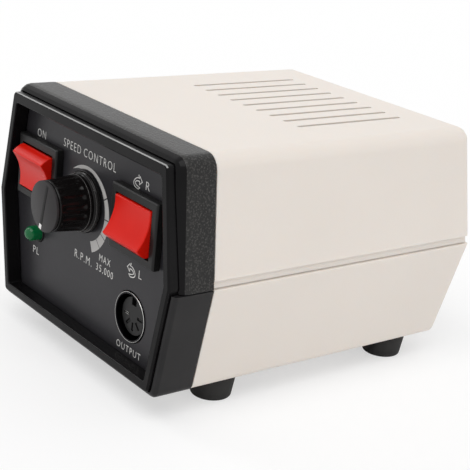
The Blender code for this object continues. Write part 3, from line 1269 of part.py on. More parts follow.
def build_board():
    """The circuit board on its posts, with two plug headers in one with it, and its two screws."""
    left, right = BOARD_LEFT, BOARD_LEFT + BOARD_WIDTH
    front = at_depth(BOARD_FRONT_DEPTH)
    low = FLOOR_Z + BOARD_RISE
    top = low + BOARD_THICKNESS
    outline = [(left, front), (right, front), (right, front + BOARD_LENGTH), (left, front + BOARD_LENGTH)]
    holes = [circle((x, y), BOARD_SCREW_RADIUS + GAP, SMALL_FACETS) for label, x, y in board_hole_places()]
    board = prism("circuit_board", [outline] + holes, "XY", low, top)
    wall = HEADER_WALL
    header_left = right - wall - HEADER_WIDTH
    for i in range(2):
        start = front + 2 * BOARD_HOLE_INSET + i * (HEADER_LENGTH + wall)
        join(board, box(f"header_{i}", (header_left, start, top - GAP),
                        (header_left + HEADER_WIDTH, start + HEADER_LENGTH, top + HEADER_HEIGHT)))
        cut(board, box(f"header_well_{i}", (header_left + wall, start + wall, top + wall),
                       (header_left + HEADER_WIDTH - wall, start + HEADER_LENGTH - wall,
                        top + HEADER_HEIGHT + OVERRUN)))
    finish(board, BOARD_GREEN)
    for label, x, y in board_hole_places()[:2]:
        build_screw(f"board_screw_{label}", (x, y, top + GAP), UPWARD, BOARD_SCREW_RADIUS,
                    BOARD_SCREW_LENGTH, BOARD_SCREW_HEAD_RADIUS, BOARD_SCREW_HEAD)
    build_capacitor(left, top + GAP)
    build_heat_sink(right, top + GAP)
    build_bridge(left, top + GAP)


def build_capacitor(board_left, seat):
    """The large upright smoothing capacitor, with its crimped sleeve."""
    radius, height, crimp = CAPACITOR_RADIUS, CAPACITOR_HEIGHT, CAPACITOR_CRIMP
    profile = [(0, height - crimp), (radius - 2 * crimp, height - crimp), (radius - 2 * crimp, height),
               (radius - crimp, height), (radius, height - crimp), (radius, 4 * crimp),
               (radius - crimp, 3 * crimp), (radius, 2 * crimp), (radius, 0), (0, 0)]
    place = (board_left + CAPACITOR_SIDE_INSET + radius,
             at_depth(BOARD_FRONT_DEPTH + CAPACITOR_FRONT_INSET) + radius, seat)
    finish(turned("smoothing_capacitor", profile, place, UPWARD, ROUND_FACETS), SLEEVE_BLUE)


def build_heat_sink(board_right, seat):
    """A finned heat sink on the board, with two driver transistors against its plate."""
    front = at_depth(BOARD_FRONT_DEPTH + SINK_START)
    plate_right = board_right - SINK_INSET - SINK_FIN_REACH
    plate_left = plate_right - SINK_PLATE
    outline = [(plate_left, front + SINK_LENGTH), (plate_left, front)]
    pitch = (SINK_LENGTH - SINK_FIN_THICKNESS) / (SINK_FIN_COUNT - 1)
    for i in range(SINK_FIN_COUNT):
        start, end = front + pitch * i, front + pitch * i + SINK_FIN_THICKNESS
        tip = plate_right + SINK_FIN_REACH
        outline += [(plate_right, start)] * bool(i) + [(tip, start), (tip, end)]
        outline += [(plate_right, end)] * (i < SINK_FIN_COUNT - 1)
    sink = prism("heat_sink", [outline], "XY", seat, seat + SINK_HEIGHT)
    finish(sink, ALUMINIUM)
    right = plate_left - GAP
    middle_x = right - TRANSISTOR_THICKNESS / 2
    half_leg = TERMINAL_THICKNESS / 2
    for i, label in enumerate(("front", "rear")):
        middle_y = front + SINK_LENGTH * (1 + 2 * i) / 4
        low = seat + TRANSISTOR_LEG
        transistor = box(f"transistor_{label}",
                         (right - TRANSISTOR_THICKNESS, middle_y - TRANSISTOR_WIDTH / 2, low),
                         (right, middle_y + TRANSISTOR_WIDTH / 2, low + TRANSISTOR_HEIGHT))
        for j in (-1, 0, 1):
            leg_y = middle_y + j * TRANSISTOR_WIDTH / 4
            join(transistor, box(f"leg_{label}_{j}", (middle_x - half_leg, leg_y - half_leg, seat),
                                 (middle_x + half_leg, leg_y + half_leg, low + half_leg)))
        finish(transistor, BLACK_NYLON)


def build_bridge(board_left, seat):
    """The flat rectifier block that stands at the board's edge."""
    left, front = board_left + BRIDGE_INSET, at_depth(BOARD_FRONT_DEPTH + SINK_START)
    bridge = box("bridge_rectifier", (left, front, seat),
                 (left + BRIDGE_THICKNESS, front + BRIDGE_LENGTH, seat + BRIDGE_HEIGHT))
    bevel(bridge, SOFT_EDGE, 1)
    finish(bridge, BLACK_NYLON)


# Rear

def build_rear_panel():
    """The plate in the rear window, holed for what it carries."""
    holes = [rectangle((INLET_X, INLET_Z), INLET_HALF_WIDTH + GAP, INLET_HALF_HEIGHT + GAP),
             circle((FUSE_X, FUSE_Z), FUSE_BODY_RADIUS + GAP, ROUND_FACETS),
             circle((JACK_X, JACK_Z), JACK_BUSH_RADIUS + GAP, ROUND_FACETS),
             rectangle((SELECTOR_X, SELECTOR_Z), SELECTOR_BODY_HALF_WIDTH + GAP,
                       SELECTOR_BODY_HALF_HEIGHT + GAP)]
    panel = prism("rear_panel", [rear_window_outline(0)] + holes, "XZ", REAR_PANEL_Y, REAR_FACE_Y)
    finish(panel, BLACK_ABS)


def build_inlet():
    """The mains inlet: a flanged housing with a keyed well, in one with its three moulded-in pins."""
    face = REAR_FACE_Y + GAP
    back = face + INLET_FLANGE_THICKNESS
    flange = rounded_outline(rectangle((INLET_X, INLET_Z), INLET_FLANGE_HALF_WIDTH, INLET_FLANGE_HALF_HEIGHT),
                             [INLET_FLANGE_THICKNESS] * 4, 3)
    inlet = prism("mains_inlet", [flange], "XZ", face, back)
    body_front = back - INLET_BODY_LENGTH - INLET_FLANGE_THICKNESS
    join(inlet, box("inlet_body", (INLET_X - INLET_HALF_WIDTH, body_front, INLET_Z - INLET_HALF_HEIGHT),
                    (INLET_X + INLET_HALF_WIDTH, face + INLET_FLANGE_THICKNESS / 2,
                     INLET_Z + INLET_HALF_HEIGHT)))
    half_width, half_height, corner = INLET_WELL_HALF_WIDTH, INLET_WELL_HALF_HEIGHT, INLET_CORNER
    well = [(INLET_X - half_width, INLET_Z - half_height), (INLET_X + half_width, INLET_Z - half_height),
            (INLET_X + half_width, INLET_Z + half_height - corner),
            (INLET_X + half_width - corner, INLET_Z + half_height),
            (INLET_X - half_width + corner, INLET_Z + half_height),
            (INLET_X - half_width, INLET_Z + half_height - corner)]
    well_floor = back - INLET_WELL_DEPTH
    cut(inlet, prism("inlet_well", [well], "XZ", well_floor, back + OVERRUN))
    places = [(INLET_X, INLET_Z + INLET_PIN_RISE), (INLET_X - INLET_PIN_PITCH, INLET_Z - INLET_PIN_RISE),
              (INLET_X + INLET_PIN_PITCH, INLET_Z - INLET_PIN_RISE)]
    for i, (x, z) in enumerate(places):
        join(inlet, box(f"inlet_pin_{i}", (x - INLET_PIN_THICKNESS / 2, body_front - INLET_TAB_LENGTH,
                                           z - INLET_PIN_HEIGHT / 2),
                        (x + INLET_PIN_THICKNESS / 2, back - INLET_PIN_RECESS, z + INLET_PIN_HEIGHT / 2)))
    finish(inlet, BLACK_NYLON)


def build_fuse_holder():
    """The fuse holder: a flanged tube with two terminals, its nut, the turning cap and the fuse."""
    face = REAR_FACE_Y + GAP
    place = (FUSE_X, face, FUSE_Z)
    bore, rim = FUSE_BORE_RADIUS, FUSE_FLANGE_THICKNESS
    profile = [(0, rim - FUSE_BORE_DEPTH), (bore, rim - FUSE_BORE_DEPTH), (bore, rim),
               (FUSE_FLANGE_RADIUS - FINE_EDGE, rim), (FUSE_FLANGE_RADIUS, rim - FINE_EDGE),
               (FUSE_FLANGE_RADIUS, 0), (FUSE_BODY_RADIUS, 0), (FUSE_BODY_RADIUS, -FUSE_BODY_LENGTH),
               (0, -FUSE_BODY_LENGTH)]
    holder = turned("fuse_holder", profile, place, REARWARD, ROUND_FACETS)
    for i in (-1, 1):
        root = (FUSE_X, face - FUSE_BODY_LENGTH, FUSE_Z + i * FUSE_BORE_RADIUS)
        join(holder, terminal(f"fuse_terminal_{i}", root, -1))
    finish(holder, BLACK_NYLON)
    centre = (FUSE_X, FUSE_Z)
    outlines = [circle(centre, FUSE_NUT_RADIUS, 6),
                circle(centre, FUSE_BODY_RADIUS + RUNNING_GAP, ROUND_FACETS)]
    nut_face = REAR_PANEL_Y - GAP
    nut = prism("fuse_holder_nut", outlines, "XZ", nut_face - FUSE_NUT_THICKNESS, nut_face)
    finish(nut, BLACK_NYLON)

    seat = face + FUSE_FLANGE_THICKNESS + GAP
    stem = bore - RUNNING_GAP
    profile = [(0, FUSE_CAP_HEIGHT), (FUSE_CAP_RADIUS - SOFT_EDGE, FUSE_CAP_HEIGHT),
               (FUSE_CAP_RADIUS, FUSE_CAP_HEIGHT - SOFT_EDGE), (FUSE_CAP_RADIUS, 0), (stem, 0),
               (stem, -FUSE_CAP_STEM), (0, -FUSE_CAP_STEM)]
    cap = turned("fuse_cap", profile, (FUSE_X, seat, FUSE_Z), REARWARD, ROUND_FACETS)
    reach, half_slot = FUSE_CAP_RADIUS + OVERRUN, FUSE_CAP_SLOT / 2
    cut(cap, box("fuse_cap_slot",
                 (FUSE_X - reach, seat + FUSE_CAP_HEIGHT - FUSE_CAP_SLOT, FUSE_Z - half_slot),
                 (FUSE_X + reach, seat + FUSE_CAP_HEIGHT + OVERRUN, FUSE_Z + half_slot)))
    for i in range(FUSE_CAP_RIBS):
        turn = 2 * math.pi * (i + 0.5) / FUSE_CAP_RIBS
        x, z = FUSE_X + FUSE_CAP_RADIUS * math.cos(turn), FUSE_Z + FUSE_CAP_RADIUS * math.sin(turn)
        cut(cap, rod(f"fuse_cap_flute_{i}", FUSE_CAP_RIB_RADIUS, (x, seat - OVERRUN, z),
                     (x, seat + FUSE_CAP_HEIGHT + OVERRUN, z), 8))
    finish(cap, BLACK_NYLON)
    end = -FUSE_CAP_STEM - GAP
    neck = FUSE_GLASS_RADIUS
    other_end = end - FUSE_LENGTH
    profile = [(0, end), (FUSE_RADIUS, end), (FUSE_RADIUS, end - FUSE_END_LENGTH),
               (neck, end - FUSE_END_LENGTH), (neck, other_end + FUSE_END_LENGTH),
               (FUSE_RADIUS, other_end + FUSE_END_LENGTH), (FUSE_RADIUS, other_end), (0, other_end)]
    fuse = turned("fuse", profile, (FUSE_X, seat, FUSE_Z), REARWARD, PLAIN_FACETS)
    bpy.context.view_layer.update()
    finish(fuse, GLASS, cap)


def build_jack():
    """The foot-control jack: bushed body behind the panel, nut in front of it."""
    face = REAR_FACE_Y + GAP
    body_back = REAR_PANEL_Y - GAP
    jack = box("foot_jack", (JACK_X - JACK_BODY_HALF_WIDTH, body_back - JACK_BODY_LENGTH,
                             JACK_Z - JACK_BODY_HALF_HEIGHT),
               (JACK_X + JACK_BODY_HALF_WIDTH, body_back, JACK_Z + JACK_BODY_HALF_HEIGHT))
    bush_end = face + JACK_BUSH_PROUD
    join(jack, rod("jack_bush", JACK_BUSH_RADIUS, (JACK_X, body_back - OVERRUN, JACK_Z),
                   (JACK_X, bush_end, JACK_Z), ROUND_FACETS))
    cut(jack, rod("jack_bore", JACK_BORE_RADIUS, (JACK_X, bush_end - JACK_BORE_DEPTH, JACK_Z),
                  (JACK_X, bush_end + OVERRUN, JACK_Z), ROUND_FACETS))
    finish(jack, BLACK_NYLON)
    nut = prism("foot_jack_nut", [circle((JACK_X, JACK_Z), JACK_NUT_RADIUS, 6),
                                  circle((JACK_X, JACK_Z), JACK_BUSH_RADIUS + RUNNING_GAP, ROUND_FACETS)],
                "XZ", face, face + JACK_NUT_THICKNESS)
    finish(nut, NICKEL)


def build_selector():
    """The voltage selector: a flanged body that snaps into the panel, and its slider in a well."""
    face = REAR_FACE_Y + GAP
    outer = face + SELECTOR_FLANGE_THICKNESS
    x, z = SELECTOR_X, SELECTOR_Z
    body = box("voltage_selector_body",
               (x - SELECTOR_FLANGE_HALF_WIDTH, face, z - SELECTOR_FLANGE_HALF_HEIGHT),
               (x + SELECTOR_FLANGE_HALF_WIDTH, outer, z + SELECTOR_FLANGE_HALF_HEIGHT))
    join(body, box("selector_block", (x - SELECTOR_BODY_HALF_WIDTH, outer - SELECTOR_BODY_LENGTH,
                                      z - SELECTOR_BODY_HALF_HEIGHT),
                   (x + SELECTOR_BODY_HALF_WIDTH, face + SELECTOR_FLANGE_THICKNESS / 2,
                    z + SELECTOR_BODY_HALF_HEIGHT)))
    well_floor = outer - SELECTOR_WELL_DEPTH
    cut(body, box("selector_well", (x - SELECTOR_WELL_HALF_WIDTH, well_floor, z - SELECTOR_WELL_HALF_HEIGHT),
                  (x + SELECTOR_WELL_HALF_WIDTH, outer + OVERRUN, z + SELECTOR_WELL_HALF_HEIGHT)))
    finish(body, BLACK_NYLON)
    start = x - SELECTOR_WELL_HALF_WIDTH + GAP
    half = SELECTOR_WELL_HALF_HEIGHT - GAP
    slider = box("voltage_selector_slider", (start, well_floor + GAP, z - half),
                 (start + SLIDER_LENGTH, outer + SLIDER_PROUD, z + half))
    middle = start + SLIDER_LENGTH / 2
    tip, half_slot = outer + SLIDER_PROUD, SLIDER_SLOT / 2
    cut(slider, box("slider_slot", (middle - half_slot, tip - SLIDER_SLOT, z - half - OVERRUN),
                    (middle + half_slot, tip + OVERRUN, z + half + OVERRUN)))
    finish(slider, RED_NYLON)


build_upper_cover()
build_lower_cover()
build_case_screws()
build_feet()
build_frame_half("front_frame_upper", UPPER_FRAME_FRONT_DEPTH, UPPER_FRAME_RADIUS, True)
build_frame_half("front_frame_lower", LOWER_FRAME_FRONT_DEPTH, LOWER_FRAME_RADIUS, False)
build_bezel()
build_panel()
build_switch("power", POWER_SWITCH_X, POWER_SWITCH_Z, POWER_ROCKER_TILT, POWER_TERMINAL_ROW_COUNT)
build_switch("direction", DIRECTION_SWITCH_X, DIRECTION_SWITCH_Z, -DIRECTION_ROCKER_TILT,
             DIRECTION_TERMINAL_ROW_COUNT)
build_knob()
build_potentiometer()
build_socket()
build_lamp()
build_transformer()
build_board()
build_rear_panel()
build_inlet()
build_fuse_holder()
build_jack()
build_selector()
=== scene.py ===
"""Looks of a bench micromotor's control box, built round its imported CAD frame.

The box stands on its feet at Z 0 and its panel faces -Y. Lengths are in metres, or in millimetres
where a name or a docstring says so. Each class is one sub-assembly: its fields are sizes, and its
methods make the meshes and give them their finishes. CAD nodes whose shape is right keep it and only
get a finish, and the rest are stood for by finer pieces.
"""
import json
import logging
import math
from dataclasses import dataclass, field
from enum import Enum

import bmesh
import bpy
from mathutils import Matrix, Vector


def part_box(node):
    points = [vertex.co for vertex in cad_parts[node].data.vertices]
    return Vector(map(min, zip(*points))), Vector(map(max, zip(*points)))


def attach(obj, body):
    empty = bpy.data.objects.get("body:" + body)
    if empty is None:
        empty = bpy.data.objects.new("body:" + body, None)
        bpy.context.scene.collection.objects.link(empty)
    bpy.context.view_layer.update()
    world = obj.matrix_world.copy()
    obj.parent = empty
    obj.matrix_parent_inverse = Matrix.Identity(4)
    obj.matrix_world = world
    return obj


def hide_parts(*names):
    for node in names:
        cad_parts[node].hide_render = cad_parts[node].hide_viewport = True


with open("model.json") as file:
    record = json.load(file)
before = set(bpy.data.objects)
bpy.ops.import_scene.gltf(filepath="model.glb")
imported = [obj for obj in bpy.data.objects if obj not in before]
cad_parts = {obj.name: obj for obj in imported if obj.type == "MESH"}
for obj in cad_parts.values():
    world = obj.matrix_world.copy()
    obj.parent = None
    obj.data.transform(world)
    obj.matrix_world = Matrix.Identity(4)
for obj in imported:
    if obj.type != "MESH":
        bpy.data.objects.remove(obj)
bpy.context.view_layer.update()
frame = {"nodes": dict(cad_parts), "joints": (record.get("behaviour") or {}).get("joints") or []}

LOG = logging.getLogger("control_box")
MM = 0.001
ROOT = "control_box"

# Points nearer than this are one point, and faces that turn by less than this are one face.
WELD = 0.001 * MM
CREASE = math.radians(0.4)

FRONTWARD = Matrix.Rotation(math.pi / 2, 4, "X")
REARWARD = Matrix.Rotation(-math.pi / 2, 4, "X")
DOWNWARD = Matrix.Rotation(math.pi, 4, "X")

PANEL_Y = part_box("front_panel")[0].y
REAR_FACE_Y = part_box("rear_panel")[1].y

# A printed film lies just off the panel, and a line printed over it lies on top.
FILM = 0.02 * MM
INK_FOOT = 0.5 * FILM
INK_TOP = 1.5 * FILM
OVERPRINT_TOP = 2.2 * FILM

Point = tuple[float, float]
Outline = list[Point]
Triple = tuple[float, float, float]


# Finishes

def linear(code: str) -> tuple[float, float, float, float]:
    """Turns an sRGB hex colour into the linear one that shaders work in.

    Args:
        code: colour as #rrggbb.

    Returns:
        Linear red, green and blue, and an alpha of 1.
    """
    channels = [int(code[i:i + 2], 16) / 255 for i in (1, 3, 5)]
    decoded = [c / 12.92 if c <= 0.04045 else ((c + 0.055) / 1.055) ** 2.4 for c in channels]
    return (*decoded, 1.0)


def add_node(tree: bpy.types.NodeTree, kind: str, settings: dict | None = None,
             links: dict | None = None) -> bpy.types.Node:
    """Adds one shader node with its settings and its incoming links.

    Args:
        tree: node tree that takes the node.
        kind: the node's type name.
        settings: values by the name of a property, or by the name or number of an input socket.
        links: output sockets by the name or number of the input socket that they feed.

    Returns:
        The new node.
    """
    node = tree.nodes.new(kind)
    for name, value in (settings or {}).items():
        if isinstance(name, str) and hasattr(node, name):
            setattr(node, name, value)
        else:
            node.inputs[name].default_value = value
    for name, socket in (links or {}).items():
        tree.links.new(socket, node.inputs[name])
    return node


class Relief(Enum):
    """How a surface was made, which sets the shape of its fine relief."""

    PEBBLED = "pebbled"
    SATIN = "satin"
    DRAWN = "drawn"
    STACKED = "stacked"


# How far the two colours of a ramp stand from its middle, for slow patches and for the painted light and
# shade on the grain.
PATCH_SPREAD = 0.15
GRAIN_SHADING_SPREAD = 0.32
# Distances from a pebble's middle, in pebbles, between which the painted light on its top turns to painted
# shade at its foot.
PEBBLE_TOP = 0.12
PEBBLE_FOOT = 0.72
# Drawn grain is twenty times longer than wide, and a wave texture has its own measure of length.
DRAWN_STRETCH = 0.05
WAVE_MEASURE = 0.16
# Light that enters a pale plastic comes out again within about this distance, red the farthest.
SCATTER_LENGTH = 2.0 * MM
SCATTER_BY_COLOUR = (1.0, 0.8, 0.65)


@dataclass(frozen=True)
class Finish:
    """One surface, named for its material and how it was made.

    Attributes:
        name: material name.
        colour: main colour, sRGB hex; with grain shading, the painted lit colour of a pebble's top.
        tint: the colour that the main one drifts towards, sRGB hex; with grain shading, also the painted
            shade at a pebble's foot.
        roughness: mean roughness.
        grain_mm: size of one grain of the relief.
        depth_mm: height of the relief.
        swing: how far roughness moves between a grain's top and its foot.
        relief: kind of fine relief.
        drift_mm: size of the slow patches of colour.
        metallic: 1 for bare metal.
        grain_shading: share of the tint that follows the grain, as painted light on its tops and painted
            shade in its hollows, instead of the slow patches.
        specular: weight of the surface reflection; half is a plain dielectric.
        ior: index of refraction; a metal keeps the default.
        coat: weight of a clear layer on top.
        transmission: share of light that passes through.
        scatter: share of light that spreads inside a pale plastic.
    """

    name: str
    colour: str
    tint: str
    roughness: float
    grain_mm: float = 0.5
    depth_mm: float = 0.004
    swing: float = 0.06
    relief: Relief = Relief.SATIN
    drift_mm: float = 14.0
    metallic: float = 0.0
    grain_shading: float = 0.0
    specular: float = 0.5
    ior: float = 1.5
    coat: float = 0.0
    transmission: float = 0.0
    scatter: float = 0.0

    def height(self, tree: bpy.types.NodeTree, place: bpy.types.NodeSocket) -> bpy.types.NodeSocket:
        """Makes the fine relief.

        Args:
            tree: the material's node tree.
            place: socket that gives the point on the piece.

        Returns:
            Socket with the relief's height, 0 to 1; for pebbles it grows away from their middles.
        """
        scale = 1 / (self.grain_mm * MM)
        if self.relief is Relief.PEBBLED:
            return add_node(tree, "ShaderNodeTexVoronoi",
                            {"feature": "SMOOTH_F1", "Scale": scale, "Detail": 1.0},
                            {"Vector": place}).outputs["Distance"]
        if self.relief is Relief.DRAWN:
            stretched = add_node(tree, "ShaderNodeMapping",
                                 {"Scale": (scale, scale * DRAWN_STRETCH, scale)}, {"Vector": place})
            return add_node(tree, "ShaderNodeTexNoise", {"Scale": 1.0, "Detail": 2.0},
                            {"Vector": stretched.outputs[0]}).outputs["Fac"]
        if self.relief is Relief.STACKED:
            return add_node(tree, "ShaderNodeTexWave",
                            {"bands_direction": "X", "Scale": scale * WAVE_MEASURE, "Distortion": 0.4,
                             "Detail": 1.0}, {"Vector": place}).outputs["Fac"]
        return add_node(tree, "ShaderNodeTexNoise", {"Scale": scale, "Detail": 2.0, "Roughness": 0.6},
                        {"Vector": place}).outputs["Fac"]

    def shade(self, tree: bpy.types.NodeTree, place: bpy.types.NodeSocket,
              relief: bpy.types.NodeSocket) -> bpy.types.NodeSocket:
        """Makes the colour, which drifts between the two hex values; with grain shading it also paints the
        grain's tops lit and its hollows shaded.

        Args:
            tree: the material's node tree.
            place: socket that gives the point on the piece.
            relief: socket with the relief's height.

        Returns:
            Socket with the colour.
        """
        share = add_node(tree, "ShaderNodeTexNoise", {"Scale": 1 / (self.drift_mm * MM), "Detail": 2.0},
                         {"Vector": place}).outputs["Fac"]
        spread = PATCH_SPREAD
        if self.grain_shading > 0:
            spread = GRAIN_SHADING_SPREAD
            # Painted light and shade: a pebble's top takes the main colour as if lit, its foot the tint as if
            # shaded.
            grain_shade = add_node(tree, "ShaderNodeMapRange",
                              {"From Min": PEBBLE_TOP, "From Max": PEBBLE_FOOT}, {"Value": relief})
            share = add_node(tree, "ShaderNodeMix", {"Factor": self.grain_shading},
                             {"A": share, "B": grain_shade.outputs["Result"]}).outputs[0]
        ramp = add_node(tree, "ShaderNodeValToRGB", links={"Fac": share})
        for stop, position, code in zip(ramp.color_ramp.elements, (0.5 - spread, 0.5 + spread),
                                        (self.colour, self.tint)):
            stop.position, stop.color = position, linear(code)
        return ramp.outputs["Color"]

    def material(self) -> bpy.types.Material:
        """Makes the material at the first call and finds it again later.

        Returns:
            The material.
        """
        known = bpy.data.materials.get(self.name)
        if known is not None:
            return known
        made = bpy.data.materials.new(self.name)
        made.use_nodes = True
        tree = made.node_tree
        shader = tree.nodes["Principled BSDF"]
        place = add_node(tree, "ShaderNodeTexCoord").outputs["Object"]
        relief = self.height(tree, place)
        rough = add_node(tree, "ShaderNodeMapRange",
                         {"To Min": self.roughness + self.swing, "To Max": self.roughness - self.swing},
                         {"Value": relief})
        bump = add_node(tree, "ShaderNodeBump",
                        {"invert": self.relief is Relief.PEBBLED, "Distance": self.depth_mm * MM},
                        {"Height": relief})
        for name, socket in (("Base Color", self.shade(tree, place, relief)),
                             ("Roughness", rough.outputs["Result"]), ("Normal", bump.outputs["Normal"])):
            tree.links.new(socket, shader.inputs[name])
        for name, value in (("Metallic", self.metallic), ("IOR", self.ior), ("Coat Weight", self.coat),
                            ("Specular IOR Level", self.specular),
                            ("Transmission Weight", self.transmission), ("Subsurface Weight", self.scatter),
                            ("Subsurface Radius", SCATTER_BY_COLOUR),
                            ("Subsurface Scale", SCATTER_LENGTH)):
            shader.inputs[name].default_value = value
        return made


# ABS from a spark-eroded mould: the pebbles scatter the light, so the walls look soft and even.
# Real pebbles are about 0.3 mm; these are drawn at twice that.
CREAM_ABS = Finish("cream_abs_spark_eroded", "#E9E1D9", "#E7DFD7", 0.55, 0.60, 0.020,
                   relief=Relief.PEBBLED, drift_mm=45.0, scatter=0.35)
# ABS from a deeply etched mould: its pebbles' tops are painted lighter and their hollows darker, a painted
# light and shade that makes the black look speckled.
# Real pebbles are about 0.4 mm; these are drawn coarser so that they show.
GRAINED_ABS = Finish("black_abs_coarse_grain", "#474543", "#131211", 0.36, 0.62, 0.110, 0.08,
                     relief=Relief.PEBBLED, drift_mm=9.0, grain_shading=0.85, specular=0.34)
# ABS from a lightly eroded mould: even, dark and a little silky.
SATIN_ABS = Finish("black_abs_satin", "#1A191A", "#1F1E1F", 0.36, 0.45, 0.008,
                   relief=Relief.PEBBLED, specular=0.24)
# ABS from a polished part of the mould: near black, with long soft reflections; on the upper surround's
# front-facing rounding its darkness is a painted shade.
GLOSS_ABS = Finish("black_abs_polished_mould", "#0C0B0C", "#111011", 0.24, 1.8, 0.002, 0.03,
                   specular=0.11)
# The same ABS in a thin pale line along an edge: a painted highlight.
HIGHLIGHT_ABS = Finish("black_abs_painted_highlight", "#8F8F8E", "#9B9B9A", 0.34, 1.2, 0.002, 0.03)
# Phenolic with faint grey lines round the knob's skirt rings: painted highlights on their edges.
HIGHLIGHT_PHENOLIC = Finish("black_phenolic_painted_highlight", "#4A4847", "#545251", 0.28, 1.2, 0.002, 0.03)
# Aluminium sheet under satin stoving paint: even and dark, with a faint orange peel.
STOVED_PAINT = Finish("grey_stoving_paint", "#2B2A2D", "#2E2D30", 0.36, 1.4, 0.004, drift_mm=30.0,
                      specular=0.22)
# Screen-printed inks: flat and matt over the paint's sheen.
SCREEN_INK = Finish("off_white_screen_ink", "#E2E1DE", "#D6D5D2", 0.60, 0.3, 0.002)
SCALE_INK = Finish("pale_grey_screen_ink", "#BDBBB9", "#AEACAA", 0.60, 0.3, 0.002)
TICK_INK = Finish("dark_screen_ink", "#2B2A2C", "#323133", 0.60, 0.3, 0.002)
# Nylon from a polished mould: a tight highlight over a saturated red.
RED_NYLON = Finish("red_nylon_polished_mould", "#D41A0C", "#CE170A", 0.26, 2.2, 0.002, 0.03,
                   specular=0.16)
# Nylon from a plain mould: a duller black that keeps its edges readable.
BLACK_NYLON = Finish("black_nylon_moulded", "#161616", "#1C1C1C", 0.42, 0.6, 0.006, specular=0.25)
# Phenolic from a polished mould: deep black with bright streaks along the flutes.
GLOSS_PHENOLIC = Finish("black_phenolic_polished_mould", "#0E0C0C", "#131111", 0.16, 2.6, 0.003, 0.03,
                        specular=0.16)
# Spun aluminium, dyed dark in the anodising bath: a soft grey face without a sharp highlight.
DISC_ALUMINIUM = Finish("dark_anodised_aluminium_spun", "#2B292A", "#302E2F", 0.42, 0.4, 0.003,
                        metallic=0.2, specular=0.2)
# Paint laid into the pointer's groove and on its tip: flat, darker and lighter than the disc.
POINTER_PAINT = Finish("black_line_paint", "#0B0A0A", "#100F0F", 0.5, 0.3, 0.002, specular=0.2)
MARK_PAINT = Finish("white_line_paint", "#ECEBE8", "#DFDEDB", 0.5, 0.3, 0.002)
# Cast epoxy, tinted right through: deep green, a little brighter where light passes the dome.
GREEN_EPOXY = Finish("green_epoxy_cast", "#0A7340", "#096738", 0.14, 1.8, 0.002, 0.02,
                     specular=0.22, ior=1.54, transmission=0.18)
# Moulded rubber: matt, with a dusty grey cast on its curves.
RUBBER = Finish("black_rubber_moulded", "#1B1A1A", "#232221", 0.78, 0.5, 0.012)
# Nickel plated over and blackened: dark metal; the glint at its rim is a separate bright nickel ring that
# stands in for the rolled edge's highlight.
DARK_NICKEL = Finish("black_nickel_plate", "#232225", "#1E1D20", 0.34, 0.8, 0.002, metallic=1.0)
# Bright nickel plate: clear, slightly warm reflections.
NICKEL = Finish("nickel_plate", "#C6C5C3", "#B8B7B4", 0.24, 0.8, 0.002, metallic=1.0)
# Zinc plate on turned and pressed steel: cooler and duller than nickel.
ZINC = Finish("zinc_plated_steel", "#BFC0C1", "#AEAFB0", 0.34, 0.6, 0.004, metallic=1.0)
# Varnished silicon-steel sheets, 0.5 mm each: the stack shows as fine dark stripes.
CORE_STEEL = Finish("silicon_steel_stacked", "#55565A", "#3F4044", 0.48, 0.5, 0.060,
                    relief=Relief.STACKED, metallic=0.8)
# Polyester tape wound over the coils: glossy amber with a step at each turn.
WINDING_TAPE = Finish("polyester_tape_wound", "#C58B1C", "#B67C12", 0.35, 1.2, 0.050,
                      relief=Relief.STACKED, coat=0.3)
# Undyed nylon: milky and half matt.
NATURAL_NYLON = Finish("natural_nylon_moulded", "#DCD8C9", "#D2CDBD", 0.5)
# Glass-fibre board under green lacquer: the weave shows as a faint ripple.
BOARD_LACQUER = Finish("green_lacquered_fibreglass", "#1F6B3B", "#1A5C33", 0.35, 0.7, 0.010)
# Extruded aluminium: fine lines along the fins.
SINK_ALUMINIUM = Finish("extruded_aluminium", "#C2C4C6", "#B3B5B7", 0.36, 0.3, 0.010,
                        relief=Relief.DRAWN, metallic=1.0)
# Shrunk sleeve round the capacitor: smooth and shiny blue.
BLUE_SLEEVE = Finish("blue_shrunk_sleeve", "#22335E", "#1C2B52", 0.30, 2.0, 0.004)
# Drawn glass tube: clear, with a hint of green.
FUSE_GLASS = Finish("clear_drawn_glass", "#E6ECEA", "#DDE5E2", 0.06, 3.0, 0.001, 0.02,
                    transmission=0.85)


# Mesh tools

def in_mm(points: tuple[Point, ...] | Outline) -> Outline:
    """Turns points given in millimetres into metres."""
    return [(u * MM, v * MM) for u, v in points]


def lathe(profile: Outline, steps: int = 96) -> bmesh.types.BMesh:
    """Turns a profile round Z.

    Args:
        profile: (radius, height) pairs along the section; both ends on the axis, or a closed ring.
        steps: faces round the axis.

    Returns:
        The turned mesh.
    """
    bm = bmesh.new()
    turns = [2 * math.pi * i / steps for i in range(steps)]
    rings = [[bm.verts.new((r * math.cos(a), r * math.sin(a), h)) for a in (turns if r > 0 else turns[:1])]
             for r, h in profile]
    pairs = list(zip(rings, rings[1:]))
    if profile[0][0] > 0 and profile[-1][0] > 0:
        pairs.append((rings[-1], rings[0]))
    for low, high in pairs:
        for i in range(steps):
            j = (i + 1) % steps
            corners = [low[i % len(low)], low[j % len(low)], high[j % len(high)], high[i % len(high)]]
            distinct = list(dict.fromkeys(corners))
            if len(distinct) > 2:
                bm.faces.new(distinct)
    bmesh.ops.recalc_face_normals(bm, faces=bm.faces)
    return bm


